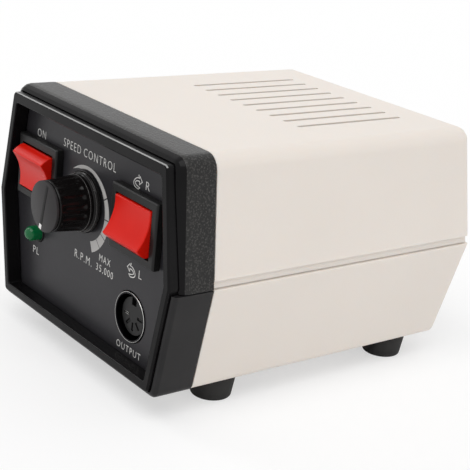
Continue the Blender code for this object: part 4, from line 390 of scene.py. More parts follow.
def prism(outlines: list[Outline], low: float, high: float) -> bmesh.types.BMesh:
    """Draws a flat outline out along Z.

    Args:
        outlines: the outer outline first, then its holes.
        low: lower Z.
        high: upper Z.

    Returns:
        The closed solid.
    """
    bm = bmesh.new()
    for outline in outlines:
        corners = [bm.verts.new((u, v, low)) for u, v in outline]
        for i, vert in enumerate(corners):
            bm.edges.new((vert, corners[(i + 1) % len(corners)]))
    bmesh.ops.triangle_fill(bm, use_beauty=True, edges=bm.edges)
    bmesh.ops.dissolve_limit(bm, angle_limit=math.radians(0.1), verts=bm.verts, edges=bm.edges)
    grown = bmesh.ops.extrude_face_region(bm, geom=bm.faces)["geom"]
    top = [item for item in grown if isinstance(item, bmesh.types.BMVert)]
    bmesh.ops.translate(bm, vec=(0, 0, high - low), verts=top)
    bmesh.ops.recalc_face_normals(bm, faces=bm.faces)
    return bm


def block(low: Triple, high: Triple, edge: float = 0.0, steps: int = 3) -> bmesh.types.BMesh:
    """Makes a box with rounded edges.

    Args:
        low: lowest corner.
        high: highest corner.
        edge: radius of the edges.
        steps: faces across one rounded edge.

    Returns:
        The box.
    """
    bm = bmesh.new()
    bmesh.ops.create_cube(bm, size=1)
    size, middle = Vector(high) - Vector(low), (Vector(high) + Vector(low)) / 2
    bmesh.ops.scale(bm, vec=size, verts=bm.verts)
    bmesh.ops.translate(bm, vec=middle, verts=bm.verts)
    if edge > 0:
        bmesh.ops.bevel(bm, geom=bm.edges[:], offset=edge, segments=steps, profile=0.5, affect="EDGES")
    return bm


def arc(centre: Point, radius: float, start: float, stop: float, steps: int) -> Outline:
    """Points along an arc.

    Args:
        centre: the arc's centre.
        radius: its radius.
        start: angle of the first point.
        stop: angle of the last one.
        steps: parts that it is cut into.

    Returns:
        The points, one more than there are parts.
    """
    angles = [start + (stop - start) * i / steps for i in range(steps + 1)]
    return [(centre[0] + radius * math.cos(a), centre[1] + radius * math.sin(a)) for a in angles]


def eased(points: Outline, rounds: int = 2) -> Outline:
    """Cuts the corners of an open line and keeps its ends.

    Args:
        points: the line's points.
        rounds: how often every corner is cut.

    Returns:
        The eased line.
    """
    for _ in range(rounds):
        cut = [points[0]]
        for (ax, ay), (bx, by) in zip(points, points[1:]):
            cut += [(near * ax + (1 - near) * bx, near * ay + (1 - near) * by) for near in (0.75, 0.25)]
        points = cut + [points[-1]]
    return points


def stroke(loop: Outline, width: float) -> list[Outline]:
    """Turns a closed line into a drawn one.

    Args:
        loop: the line's points, clockwise.
        width: the drawn line's width.

    Returns:
        The outer outline and the hole in it.
    """
    sides: list[Outline] = [[], []]
    for i, point in enumerate(loop):
        here = Vector(point)
        into = (here - Vector(loop[i - 1])).normalized()
        away = (Vector(loop[(i + 1) % len(loop)]) - here).normalized()
        mitre = Vector((-into.y - away.y, into.x + away.x)) / max(0.5, 1 + into.dot(away))
        for outline, side in zip(sides, (0.5, -0.5)):
            outline.append(tuple(here + mitre * side * width))
    return sides


def to_mesh(name: str, bm: bmesh.types.BMesh) -> bpy.types.Mesh:
    """Turns an edit mesh into a mesh.

    Args:
        name: the mesh's name.
        bm: the edit mesh, which is used up.

    Returns:
        The mesh.
    """
    mesh = bpy.data.meshes.new(name)
    bm.to_mesh(mesh)
    bm.free()
    return mesh


def joined(parts: list[bmesh.types.BMesh]) -> bmesh.types.BMesh:
    """Puts several edit meshes into one.

    Args:
        parts: the meshes, which are used up.

    Returns:
        The whole.
    """
    whole = bmesh.new()
    for part in parts:
        mesh = to_mesh("part", part)
        whole.from_mesh(mesh)
        bpy.data.meshes.remove(mesh)
    return whole


def in_scene(name: str, data: bpy.types.ID) -> bpy.types.Object:
    """Makes an object of some data and links it to the scene.

    Args:
        name: the object's name.
        data: its mesh, letters, camera or lamp.

    Returns:
        The object.
    """
    made = bpy.data.objects.new(name, data)
    bpy.context.scene.collection.objects.link(made)
    return made


def evaluated_mesh(thing: bpy.types.Object) -> bpy.types.Mesh:
    """A new mesh of what an object shows, with its letters set or its modifiers done."""
    bpy.context.view_layer.update()
    return bpy.data.meshes.new_from_object(thing.evaluated_get(bpy.context.evaluated_depsgraph_get()))


def smooth(piece: bpy.types.Object, degrees: float = 35.0) -> None:
    """Shades a piece smooth and keeps edges above an angle sharp."""
    piece.data.shade_smooth()
    piece.data.set_sharp_from_angle(angle=math.radians(degrees))


def soften(piece: bpy.types.Object, width: float, steps: int = 2, degrees: float = 35.0) -> None:
    """Rounds a piece's real edges a little, so that they catch the light.

    Args:
        piece: the object.
        width: width of the rounding.
        steps: faces across it.
        degrees: edges sharper than this are rounded.
    """
    rounding = piece.modifiers.new("edges", "BEVEL")
    rounding.width = width
    rounding.segments = steps
    rounding.limit_method = "ANGLE"
    rounding.angle_limit = math.radians(degrees)
    rounding.miter_outer = "MITER_ARC"
    piece.data.shade_smooth()
    normals = piece.modifiers.new("flat_faces", "WEIGHTED_NORMAL")
    normals.keep_sharp = True


def add_piece(name: str, bm: bmesh.types.BMesh, finish: Finish, body: str = ROOT,
              replaces: tuple[str, ...] = (),
              turn: Matrix | None = None) -> bpy.types.Object:
    """Makes a mesh a piece of the object, dressed and riding on its body.

    Args:
        name: the piece's name.
        bm: its mesh, which is used up.
        finish: its finish.
        body: CAD body that it moves with.
        replaces: CAD nodes that it stands for.
        turn: where the mesh goes, if it isn't in place.

    Returns:
        The piece.
    """
    if turn is not None:
        bm.transform(turn)
    piece = in_scene(name, to_mesh(name, bm))
    piece.data.materials.append(finish.material())
    smooth(piece)
    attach(piece, body)
    if replaces:
        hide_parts(*replaces)
    LOG.info("%s on %s: %s", name, body, finish.name)
    return piece


def carve(piece: bpy.types.Object, cutters: list[bmesh.types.BMesh]) -> None:
    """Cuts closed meshes out of a piece and keeps the result as its mesh.

    Args:
        piece: the object.
        cutters: the meshes, in the piece's own space, which are used up.
    """
    for bm in cutters:
        tool = in_scene("cutter", to_mesh("cutter", bm))
        cut = piece.modifiers.new("cut", "BOOLEAN")
        cut.operation, cut.solver, cut.object = "DIFFERENCE", "EXACT", tool
        result = evaluated_mesh(piece)
        piece.modifiers.clear()
        piece.data = result
        bpy.data.objects.remove(tool, do_unlink=True)
    smooth(piece)


def dress(node: str, finish: Finish) -> None:
    """Gives a CAD node that stays in view its finish.

    Args:
        node: the node's name.
        finish: its finish.
    """
    mesh = frame["nodes"][node].data
    mesh.materials.clear()
    mesh.materials.append(finish.material())
    LOG.info("%s keeps its CAD shape: %s", node, finish.name)


def refine(node: str, finish: Finish, edge: float, body: str = ROOT) -> bpy.types.Object:
    """Stands for a CAD node with the same form, whole faces and rounded, smoothly lit edges.

    Args:
        node: the CAD node.
        finish: the new piece's finish.
        edge: width of the rounding along its real edges.
        body: CAD body that it moves with.

    Returns:
        The piece, named after the node.
    """
    bm = bmesh.new()
    bm.from_mesh(frame["nodes"][node].data)
    bmesh.ops.remove_doubles(bm, verts=bm.verts, dist=WELD)
    bmesh.ops.dissolve_limit(bm, angle_limit=CREASE, verts=bm.verts, edges=bm.edges)
    bmesh.ops.recalc_face_normals(bm, faces=bm.faces)
    piece = add_piece(f"{node}_shell", bm, finish, body, (node,))
    soften(piece, edge)
    return piece


def repaint(piece: bpy.types.Object, finish: Finish, lowest: float, steepest: Point) -> None:
    """Gives the faces of a piece that look forward by some measure a second finish, used for the painted
    highlight on the bezel and the painted shade on the upper surround.

    Args:
        piece: the piece.
        finish: the second finish.
        lowest: faces whose middle is below this Z keep the first one.
        steepest: the least and the greatest Y of the normals that take it.
    """
    piece.data.materials.append(finish.material())
    for face in piece.data.polygons:
        if face.center.z > lowest and steepest[0] < face.normal.y < steepest[1]:
            face.material_index = 1


def middle_of(node: str) -> Vector:
    """The middle of a CAD node's box."""
    low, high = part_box(node)
    return (low + high) / 2


def on_panel(x: float = 0.0, z: float = 0.0, proud: float = 0.0) -> Matrix:
    """Places what is drawn in X and Y with its height in Z upright on the panel, facing front."""
    return Matrix.Translation((x, PANEL_Y - proud, z)) @ FRONTWARD


def joint_place(name: str) -> Matrix:
    """The place of a joint of the CAD model, by its name."""
    return Matrix.Translation(next(joint for joint in frame["joints"] if joint["name"] == name)["pos_m"])


# Sub-assemblies

@dataclass
class Case:
    """The two cream covers with the tongue between them, and the black surround with its bezel.

    Attributes:
        cover_edge: rounding of the covers' edges.
        surround_edge: rounding of the surround's and the bezel's edges.
        shoulder: the normals' Y of the front-facing faces of the upper surround that take the polished black,
            smooth there and darker as a painted shade on that rounding.
        highlight_size: how far the painted highlight along the bezel's upper edge reaches down from its top.
        highlight_normals: the normals' Y of the faces that take that painted highlight.
        lip_inset: from a cover's outside to the tongue.
        lip_width: thickness of the tongue.
        lip_low: its lower Z.
        lip_high: its upper Z.
    """

    cover_edge: float = 0.25 * MM
    surround_edge: float = 0.30 * MM
    shoulder: Point = (-1.1, -0.35)
    highlight_size: float = 0.50 * MM
    highlight_normals: Point = (-0.7, -0.2)
    lip_inset: float = 1.3 * MM
    lip_width: float = 0.8 * MM
    lip_low: float = 42.1 * MM
    lip_high: float = 43.1 * MM

    def build_lip(self) -> None:
        """Makes the tongue that closes the joint between the covers from inside."""
        low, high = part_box("lower_cover")
        outer_x, outer_y = high.x - self.lip_inset, high.y - self.lip_inset
        inner_x, inner_y = outer_x - self.lip_width, outer_y - self.lip_width
        front = low.y + self.lip_width
        outline = [(-outer_x, front), (-inner_x, front), (-inner_x, inner_y), (inner_x, inner_y),
                   (inner_x, front), (outer_x, front), (outer_x, outer_y), (-outer_x, outer_y)]
        add_piece("cover_tongue", prism([outline], self.lip_low, self.lip_high), CREAM_ABS)

    def build(self) -> None:
        """Makes the covers, the tongue and the front surround with a painted highlight along the bezel's
        upper edge.
        """
        self.build_lip()
        for node in ("upper_cover", "lower_cover"):
            refine(node, CREAM_ABS, self.cover_edge)
        upper = refine("front_frame_upper", GRAINED_ABS, self.surround_edge)
        # The upper surround's front-facing rounding takes the darker polished black: a painted shade.
        repaint(upper, GLOSS_ABS, 0.0, self.shoulder)
        refine("front_frame_lower", SATIN_ABS, self.surround_edge)
        bezel = refine("front_bezel", GLOSS_ABS, self.surround_edge)
        # A thin band along the bezel's top edge takes a pale grey: a painted highlight.
        repaint(bezel, HIGHLIGHT_ABS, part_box("front_bezel")[1].z - self.highlight_size, self.highlight_normals)


@dataclass
class CrossScrew:
    """A pan-head screw with a cross recess and a cut thread.

    Attributes:
        node: CAD node that it stands for.
        turn: places the head's seat and the way it faces.
        shank: radius of the shank.
        head: radius of the head.
        rise: height of the head.
        length: length under the head.
        pitch: pitch of the thread, twice the real one so that its ridges show.
        crown: domed share of the head's height.
        root: the thread's root radius as a share of the shank's.
        threaded: threaded share of the length.
        arm: half the recess's length, half its width and its floor, as shares of the head.
    """

    node: str
    turn: Matrix
    shank: float
    head: float
    rise: float
    length: float
    pitch: float = 1.0 * MM
    crown: float = 0.45
    root: float = 0.82
    threaded: float = 0.9
    arm: Triple = (0.62, 0.13, 0.45)

    def profile(self) -> Outline:
        """Draws the head's dome, the neck and the thread's ridges.

        Returns:
            The section, from the top down.
        """
        steps = 6
        dome = [(self.head * math.sin(a), self.rise * (1 - self.crown + self.crown * math.cos(a)))
                for a in (math.pi / 2 * i / steps for i in range(steps + 1))]
        root, bottom = self.shank * self.root, self.length * self.threaded
        section = dome + [(self.head, 0.0), (self.shank, 0.0)]
        for i in range(1, int(bottom / self.pitch)):
            section += [(root, -self.pitch * i), (self.shank, -self.pitch * (i + 0.5))]
        return section + [(root, -bottom), (0.0, -self.length)]

    def build(self) -> None:
        """Makes the screw and cuts its recess."""
        piece = add_piece(f"{self.node}_turned", lathe(self.profile(), 32), ZINC,
                          replaces=(self.node,))
        arm, half, deep = self.head * self.arm[0], self.head * self.arm[1], self.rise * self.arm[2]
        carve(piece, [block((-x, -y, deep), (x, y, self.rise * 2)) for x, y in ((arm, half), (half, arm))])
        piece.data.transform(self.turn)


@dataclass
class Screws:
    """Every screw of the part, each placed from its CAD node's own box.

    Attributes:
        sizes: radius of the shank and height of the head in mm, by the first word of the node's name.
    """

    sizes: dict[str, Point] = field(default_factory=lambda: {
        "case": (1.4, 1.8), "foot": (1.5, 2.0), "transformer": (1.5, 2.0), "board": (1.0, 1.4),
        "output": (1.0, 1.3)})

    def build(self) -> None:
        """Makes the screws: the socket's face rear, the board's face up and the others face down."""
        for node in sorted(name for name in frame["nodes"] if "_screw_" in name):
            low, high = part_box(node)
            middle, kind = (low + high) / 2, node.split("_")[0]
            shank, rise = (size * MM for size in self.sizes[kind])
            turn, depth, seat = DOWNWARD, high.z - low.z, (middle.x, middle.y, low.z + rise)
            if kind == "output":
                turn, depth, seat = REARWARD, high.y - low.y, (middle.x, high.y - rise, middle.z)
            elif kind == "board":
                turn, seat = Matrix.Identity(4), (middle.x, middle.y, high.z - rise)
            CrossScrew(node, Matrix.Translation(seat) @ turn, shank, (high.x - low.x) / 2, rise,
                       depth - rise).build()


@dataclass
class Foot:
    """A moulded rubber foot: drafted wall, rounded rims and a screw well.

    Attributes:
        node: CAD node that it stands for.
        top: radius under the case.
        base: radius at the floor.
        height: height of the foot.
        rim: radius of the lower rim.
        soft: radius of its other rims.
        well: radius of the screw's well.
        well_depth: depth of the well.
        hole: radius of the screw's hole.
    """

    node: str
    top: float = 7.4 * MM
    base: float = 6.5 * MM
    height: float = 7.7 * MM
    rim: float = 0.8 * MM
    soft: float = 0.4 * MM
    well: float = 3.6 * MM
    well_depth: float = 4.5 * MM
    hole: float = 1.8 * MM

    def build(self) -> None:
        """Turns the foot."""
        right = math.pi / 2
        profile = [(self.hole, self.height)]
        profile += arc((self.top - self.soft, self.height - self.soft), self.soft, right, 0, 4)
        profile += arc((self.base - self.rim, self.rim), self.rim, 0, -right, 6)
        profile += [(self.well + self.soft, 0.0), (self.well, self.soft), (self.well, self.well_depth),
                    (self.hole, self.well_depth)]
        middle = middle_of(self.node)
        add_piece(f"{self.node}_moulded", lathe(profile), RUBBER, replaces=(self.node,),
                  turn=Matrix.Translation((middle.x, middle.y, 0)))


@dataclass
class Legend:
    """Words screen-printed on the panel.

    Attributes:
        name: the piece's name.
        words: what they say.
        left: X of the left end.
        right: X of the right end.
        low: Z of the letters' foot.
        high: Z of the letters' top.
        thinner: how far the letters' outlines are drawn in, for the thin strokes of the real ones.
        letter_space: space between letters, as a share of the usual one.
        word_space: space between words, as a share of the usual one.
    """

    name: str
    words: str
    left: float
    right: float
    low: float
    high: float
    thinner: float = 0.010
    letter_space: float = 1.22
    word_space: float = 0.6

    def build(self) -> None:
        """Sets the words in the built-in letters and fits them to their box on the panel."""
        curve = bpy.data.curves.new(self.name, "FONT")
        curve.body = self.words
        curve.extrude = 0.5
        curve.offset = -self.thinner
        curve.space_character, curve.space_word = self.letter_space, self.word_space
        curve.resolution_u = 3
        letters = in_scene(self.name + "_letters", curve)
        mesh = evaluated_mesh(letters)
        bpy.data.objects.remove(letters, do_unlink=True)
        bm = bmesh.new()
        bm.from_mesh(mesh)
        bpy.data.meshes.remove(mesh)
        bmesh.ops.remove_doubles(bm, verts=bm.verts, dist=0.0001)
        low = Vector([min(v.co[i] for v in bm.verts) for i in range(3)])
        high = Vector([max(v.co[i] for v in bm.verts) for i in range(3)])
        wide, tall = (self.right - self.left) / (high.x - low.x), (self.high - self.low) / (high.y - low.y)
        for vert in bm.verts:
            u, v, w = vert.co - low
            vert.co = (self.left + u * wide, PANEL_Y - INK_FOOT - FILM * w, self.low + v * tall)
        bmesh.ops.recalc_face_normals(bm, faces=bm.faces)
        add_piece(self.name, bm, SCREEN_INK)


@dataclass
class SpeedDial:
    """The printed crescent round the knob, with its division lines.

    Attributes:
        centre: X and Z of the outer arc's centre.
        outer: radius of the outer arc.
        start: angle where the crescent is thinnest, from +X and anticlockwise, in degrees.
        end: angle where it is widest.
        widths: pairs of a share of the way and the crescent's width there, in mm.
        ticks: angles of the division lines and their widths in mm.
        steps: parts of the crescent's arc.
    """

    centre: Point = (-4.47 * MM, 50.45 * MM)
    outer: float = 13.73 * MM
    start: float = 128.0
    end: float = -66.6
    widths: tuple[Point, ...] = ((0.0, 0.15), (0.10, 1.15), (0.24, 1.1), (0.4, 1.6), (0.6, 2.3), (0.8, 2.9),
                                 (1.0, 3.5))
    ticks: tuple[Point, ...] = ((30.7, 0.42), (0.7, 0.42), (-28.0, 0.26), (-45.5, 0.24))
    steps: int = 64

    def spot(self, degrees: float, inset: float) -> Point:
        """A point at an angle, inset from the outer arc."""
        angle, radius = math.radians(degrees), self.outer - inset
        return self.centre[0] + radius * math.cos(angle), self.centre[1] + radius * math.sin(angle)

    def width_at(self, degrees: float) -> float:
        """Finds the crescent's width at an angle.

        Args:
            degrees: the angle.

        Returns:
            The width.
        """
        share = (self.start - degrees) / (self.start - self.end)
        for (low, first), (high, last) in zip(self.widths, self.widths[1:]):
            if share <= high:
                return (first + (last - first) * (share - low) / (high - low)) * MM
        return self.widths[-1][1] * MM

    def build(self) -> None:
        """Prints the crescent and its lines."""
        angles = [self.start + (self.end - self.start) * i / self.steps for i in range(self.steps + 1)]
        outline = [self.spot(a, 0) for a in angles]
        outline += [self.spot(a, self.width_at(a)) for a in reversed(angles)]
        add_piece("speed_dial_crescent", prism([outline], INK_FOOT, INK_TOP), SCALE_INK, turn=on_panel())
        for i, (degrees, width) in enumerate(self.ticks):
            half, long = math.degrees(width * MM / 2 / self.outer), self.width_at(degrees)
            corners = [self.spot(degrees - half, 0), self.spot(degrees + half, 0),
                       self.spot(degrees + half, long), self.spot(degrees - half, long)]
            add_piece(f"speed_dial_line_{i + 1}", prism([corners], INK_TOP, OVERPRINT_TOP), TICK_INK,
                      turn=on_panel())


@dataclass
class TurnSign:
    """The printed sign for a turning direction: a broad outlined arrow that curls round a bur's tip.

    Attributes:
        name: the piece's name.
        centre: X and Z of the sign's centre.
        side: 1 when the arrow points right, -1 when it points left.
        line: width of the printed lines.
        outer: outer line from the tail to the head, for an arrow that points right, in mm.
        head: the head's three corners, in mm.
        inner: inner line from the head back to the tail, in mm.
        tip: the bur's tip, in mm.
    """

    name: str
    centre: Point
    side: int
    line: float = 0.30 * MM
    outer: tuple[Point, ...] = ((0.27, -2.33), (-1.3, -2.05), (-2.15, -1.5), (-2.3, -0.7), (-1.7, 0.25),
                                (-0.6, 1.05), (0.72, 1.15))
    head: tuple[Point, ...] = ((0.80, 1.70), (2.10, 0.35), (0.75, -0.80))
    inner: tuple[Point, ...] = ((0.72, 0.15), (-0.4, 0.15), (-1.3, -0.35), (-1.45, -0.9), (-0.7, -1.35),
                                (1.1, -1.7))
    tip: tuple[Point, ...] = ((0.0, 1.45), (0.0, 1.95), (0.17, 2.20), (0.34, 1.95), (0.34, 1.45))

    def printed(self, outlines: list[Outline]) -> bmesh.types.BMesh:
        """Lays outlines that are drawn round the sign's own centre in their place.

        Args:
            outlines: the outer outline first, then its holes.

        Returns:
            The film of ink.
        """
        x, z = self.centre
        placed = [[(x + self.side * u, z + v) for u, v in outline] for outline in outlines]
        return prism(placed, INK_FOOT, INK_TOP)

    def build(self) -> None:
        """Prints the sign as one piece."""
        arrow = eased(list(self.outer)) + list(self.head) + eased(list(self.inner))
        parts = [self.printed(stroke(in_mm(arrow), self.line)), self.printed([in_mm(self.tip)])]
        add_piece(self.name, joined(parts), SCREEN_INK, turn=on_panel())


@dataclass
class FrontPanel:
    """The painted plate and everything printed on it.

    Attributes:
        edge: rounding of the plate's edges.
        legends: each legend's name, its words and its left, right, low and high edge in mm.
        signs: each sign's name, the X and Z of its centre in mm and its side.
    """

    edge: float = 0.15 * MM
    legends: tuple[tuple, ...] = (
        ("legend_on", "ON", -36.2, -30.9, 65.6, 68.2),
        ("legend_speed_control", "SPEED CONTROL", -19.6, 11.0, 66.7, 69.4),
        ("legend_r", "R", 27.1, 29.1, 66.4, 68.9),
        ("legend_l", "L", 27.2, 28.8, 38.9, 41.4),
        ("legend_max", "MAX", 5.4, 11.8, 36.8, 39.0),
        ("legend_rpm", "R.P.M.", -8.9, 1.3, 33.1, 35.7),
        ("legend_top_speed", "35,000", 4.0, 13.7, 33.0, 35.6),
        ("legend_output", "OUTPUT", 18.4, 31.6, 13.6, 15.8),
        ("legend_pl", "PL", -35.1, -31.3, 25.5, 27.9))
    signs: tuple[tuple, ...] = (("sign_turn_right", 23.0, 67.7, 1), ("sign_turn_left", 23.1, 40.1, -1))

    def build(self) -> None:
        """Makes the plate and prints it."""
        refine("front_panel", STOVED_PAINT, self.edge)
        for name, words, *edges in self.legends:
            Legend(name, words, *(edge * MM for edge in edges)).build()
        SpeedDial().build()
        for name, x, z, side in self.signs:
            TurnSign(name, (x * MM, z * MM), side).build()


@dataclass
class RockerSwitch:
    """A snap-in rocker switch: its black housing, its dished red rocker and the pins it tilts on.

    Attributes:
        label: power or direction; also the start of its nodes' and its joint's names.
        tilt: the rocker's rest angle about X, in degrees.
        half_width: half the rocker's width.
        ridge: half the height between the rocker's two ridges.
        reach: from the pivot to a ridge.
        dish: depth of the dished face.
        back_depth: from the pivot to the rocker's flat back.
        back_half: half the height of that back.
        pin: radius of the pivot pins.
        pin_reach: from the middle to a pin's end.
        pin_edge: rounding of a pin's end.
        edge: rounding of the rocker's edges.
        edge_angle: edges sharper than this are rounded, in degrees; the dish's own are blunter.
        housing_edge: rounding of the housing's edges.
    """

    label: str
    tilt: float
    half_width: float = 9.3 * MM
    ridge: float = 6.0 * MM
    reach: float = 4.3 * MM
    dish: float = 1.3 * MM
    back_depth: float = 3.5 * MM
    back_half: float = 5.0 * MM
    pin: float = 1.0 * MM
    pin_reach: float = 10.25 * MM
    pin_edge: float = 0.15 * MM
    edge: float = 0.32 * MM
    edge_angle: float = 42.0
    housing_edge: float = 0.18 * MM

    def outline(self) -> Outline:
        """Draws the rocker's side: dish, two ends on the swing arc and a flat back.

        Returns:
            The outline about the pivot, as (Z, Y); it is the same both ways up.
        """
        half, steps = 12, 8
        face = [(self.ridge * s, -self.reach + self.dish * (1 - s * s))
                for s in (i / half for i in range(-half, half + 1))]
        swing, top = math.hypot(self.ridge, self.reach), math.atan2(self.ridge, -self.reach)
        upper = [top + (math.pi / 2 - top) * i / steps for i in range(1, steps + 1)]
        lower = [-math.pi / 2 + (math.pi / 2 - top) * i / steps for i in range(steps)]
        ends = [[(swing * math.sin(a), swing * math.cos(a)) for a in angles] for angles in (upper, lower)]
        back = [(self.back_half, self.back_depth), (-self.back_half, self.back_depth)]
        return face + ends[0] + back + ends[1]

    def build(self) -> None:
        """Makes the housing and the rocker on its joint's axis."""
        refine(f"{self.label}_switch_housing", BLACK_NYLON, self.housing_edge)
        body = f"{self.label}_rocker"
        across = Matrix.Rotation(math.pi / 2, 4, "Y")
        turn = joint_place(f"{body}_tilt") @ Matrix.Rotation(math.radians(self.tilt), 4, "X") @ across
        rocker = add_piece(f"{body}_moulded", prism([self.outline()], -self.half_width, self.half_width),
                           RED_NYLON, body, (body,), turn)
        soften(rocker, self.edge, 3, self.edge_angle)
        inner, end = self.pin - self.pin_edge, self.pin_reach - self.pin_edge
        pivot = [(0.0, -self.pin_reach), (inner, -self.pin_reach), (self.pin, -end), (self.pin, end),
                 (inner, self.pin_reach), (0.0, self.pin_reach)]
        add_piece(f"{body}_pivot", lathe(pivot, 32), RED_NYLON, body, turn=turn)


@dataclass
class SpeedKnob:
    """The fluted knob, its disc with the pointer, and the white mark at the pointer's tip.

    Attributes:
        body: CAD body that all of it moves with.
        flutes: number of flutes.
        flute: radius of a flute's round bottom.
        bite: depth of a flute.
        low: where the flutes start, from the panel.
        high: where they end.
        run_out: length over which a flute fades at each end.
        base_radius: radius at the wall's foot.
        face_radius: radius at its top.
        base: height of the wall's foot.
        face: height of the knob's own face.
        rim: height of the rounded rim under that face.
        disc: height of the disc's face; the pointer stands a little above it.
        disc_edge: rounding of the disc's edge.
        front: height of the pointer's face, which is the knob's reach.
        spigot: radius of the disc's spigot.
        seat_radius: radius of the well that takes the spigot.
        seat: height of that well's floor.
        fit: gap that the flutes and the disc keep from their neighbours.
        pointer: half the pointer's width, and where its line starts, meets the mark and ends.
        pointer_depth: how deep the line and the mark are let in.
        pointer_edge: rounding of their edges.
        rest: the pointer's angle at rest, clockwise from the top, in degrees.
        highlight_size: half the width of the painted highlight lines on the skirt's rings.
        rings: those lines' names, radii and heights in mm.
        steps_per_flute: faces across one flute.
        wall_steps: faces up the wall.
    """

    body: str = "speed_knob"
    flutes: int = 18
    flute: float = 1.4 * MM
    bite: float = 0.45 * MM
    low: float = 4.9 * MM
    high: float = 13.2 * MM
    run_out: float = 2.2 * MM
    base_radius: float = 8.8 * MM
    face_radius: float = 8.0 * MM
    base: float = 4.0 * MM
    face: float = 13.9 * MM
    rim: float = 0.35 * MM
    disc: float = 15.12 * MM
    disc_edge: float = 0.12 * MM
    front: float = 15.2 * MM
    spigot: float = 5.0 * MM
    seat_radius: float = 5.2 * MM
    seat: float = 12.9 * MM
    fit: float = 0.3 * MM
    pointer: tuple[float, ...] = (0.65 * MM, -7.0 * MM, 6.1 * MM, 7.7 * MM)
    pointer_depth: float = 0.5 * MM
    pointer_edge: float = 0.03 * MM
    rest: float = 192.0
    highlight_size: float = 0.07 * MM
    rings: tuple[tuple, ...] = (("upper", 8.97, 3.93), ("lower", 9.42, 2.16))
    steps_per_flute: int = 14
    wall_steps: int = 40

    def wall_radius(self, height: float) -> float:
        """Radius of the tapered wall at a height from the panel."""
        share = (height - self.base) / (self.face - self.base)
        return self.base_radius + (self.face_radius - self.base_radius) * share

    def depth_at(self, angle: float, height: float) -> float:
        """Finds how far a flute cuts into the wall.

        Args:
            angle: angle round the axis.
            height: height from the panel.

        Returns:
            The depth, 0 between two flutes.
        """
        pitch = 2 * math.pi / self.flutes
        off = ((angle / pitch) % 1 - 0.5) * pitch * self.wall_radius(height)
        middle = (self.low + self.high) / 2
        past = max(0.0, abs(height - middle) - ((self.high - self.low) / 2 - self.run_out))
        fade = max(0.0, 1 - (past / self.run_out) ** 2)
        room = self.flute ** 2 - off ** 2
        return fade * max(0.0, math.sqrt(room) - (self.flute - self.bite)) if room > 0 else 0.0

    def profile(self) -> Outline:
        """Draws the knob from its bore, round the skirt's rings, up the wall and into the disc's seat.

        Returns:
            The section.
        """
        inside = [(0.0, 11.5), (3.2, 11.5), (3.2, 4.4), (7.0, 4.4)]
        skirt = [(7.0, 0.8), (9.6, 0.8), (9.74, 0.86), (9.8, 1.0), (9.8, 1.66), (9.76, 1.78), (9.46, 2.12),
                 (9.36, 2.2), (8.9, 2.56), (8.8, 2.66), (8.8, 2.94), (8.84, 3.02), (8.96, 3.36),
                 (9.0, 3.44), (9.0, 3.88), (8.95, 3.97), (8.82, 4.0)]
        rise = self.face - self.rim - self.base
        heights = [self.base + rise * i / self.wall_steps for i in range(1, self.wall_steps + 1)]
        wall = [(self.wall_radius(height), height) for height in heights]
        rim = [(self.face_radius - inset * MM, self.face - drop * MM)
               for inset, drop in ((0.06, 0.15), (0.15, 0.04), (0.3, 0.0))]
        well = [(self.seat_radius, self.face), (self.seat_radius, self.seat), (0.0, self.seat)]
        return in_mm(inside + skirt) + wall + rim + well

    def build(self) -> None:
        """Makes the knob, the painted highlight lines on its skirt, its disc, the pointer and the mark."""
        turn = joint_place("speed_knob_turn") @ FRONTWARD
        bm = lathe(self.profile(), self.flutes * self.steps_per_flute)
        for vert in bm.verts:
            radius = math.hypot(vert.co.x, vert.co.y)
            if radius > self.seat_radius + self.fit and self.base < vert.co.z < self.face:
                factor = 1 - self.depth_at(math.atan2(vert.co.y, vert.co.x), vert.co.z) / radius
                vert.co.x *= factor
                vert.co.y *= factor
        add_piece("speed_knob_moulded", bm, GLOSS_PHENOLIC, self.body, ("speed_knob",), turn)
        # The skirt's rings get thin lines of a lighter phenolic: painted highlights.
        for name, radius, height in self.rings:
            wire = arc((radius * MM, height * MM), self.highlight_size, 0, 2 * math.pi, 8)[:-1]
            add_piece(f"knob_highlight_ring_{name}", lathe(wire), HIGHLIGHT_PHENOLIC, self.body,
                      turn=turn)
        self.build_disc(turn)
        dress("knob_shaft", ZINC)

    def build_disc(self, turn: Matrix) -> None:
        """Makes the disc, the pointer let into it and the mark at its tip.

        Args:
            turn: places the knob's axis and its foot on the panel.
        """
        rim, soft = self.face_radius, self.disc_edge
        foot, under = self.seat + self.fit, self.face + self.fit
        section = [(0.0, foot), (self.spigot, foot), (self.spigot, under), (rim - soft, under),
                   (rim, under + soft), (rim, self.disc - soft), (rim - 0.3 * soft, self.disc - 0.3 * soft),
                   (rim - soft, self.disc), (0.0, self.disc)]
        add_piece("knob_disc", lathe(section), DISC_ALUMINIUM, self.body, ("knob_cap",), turn)
        spin = turn @ Matrix.Rotation(math.radians(-self.rest), 4, "Z")
        half, start, step, end = self.pointer
        sunk, edge = self.front - self.pointer_depth, self.pointer_edge
        line = block((-half, start, sunk), (half, step, self.front), edge)
        add_piece("knob_pointer_line", line, POINTER_PAINT, self.body, ("knob_pointer",),
                  spin)
        mark = block((-half, step, sunk), (half, end, self.front), edge)
        add_piece("knob_index_mark", mark, MARK_PAINT, self.body, turn=spin)


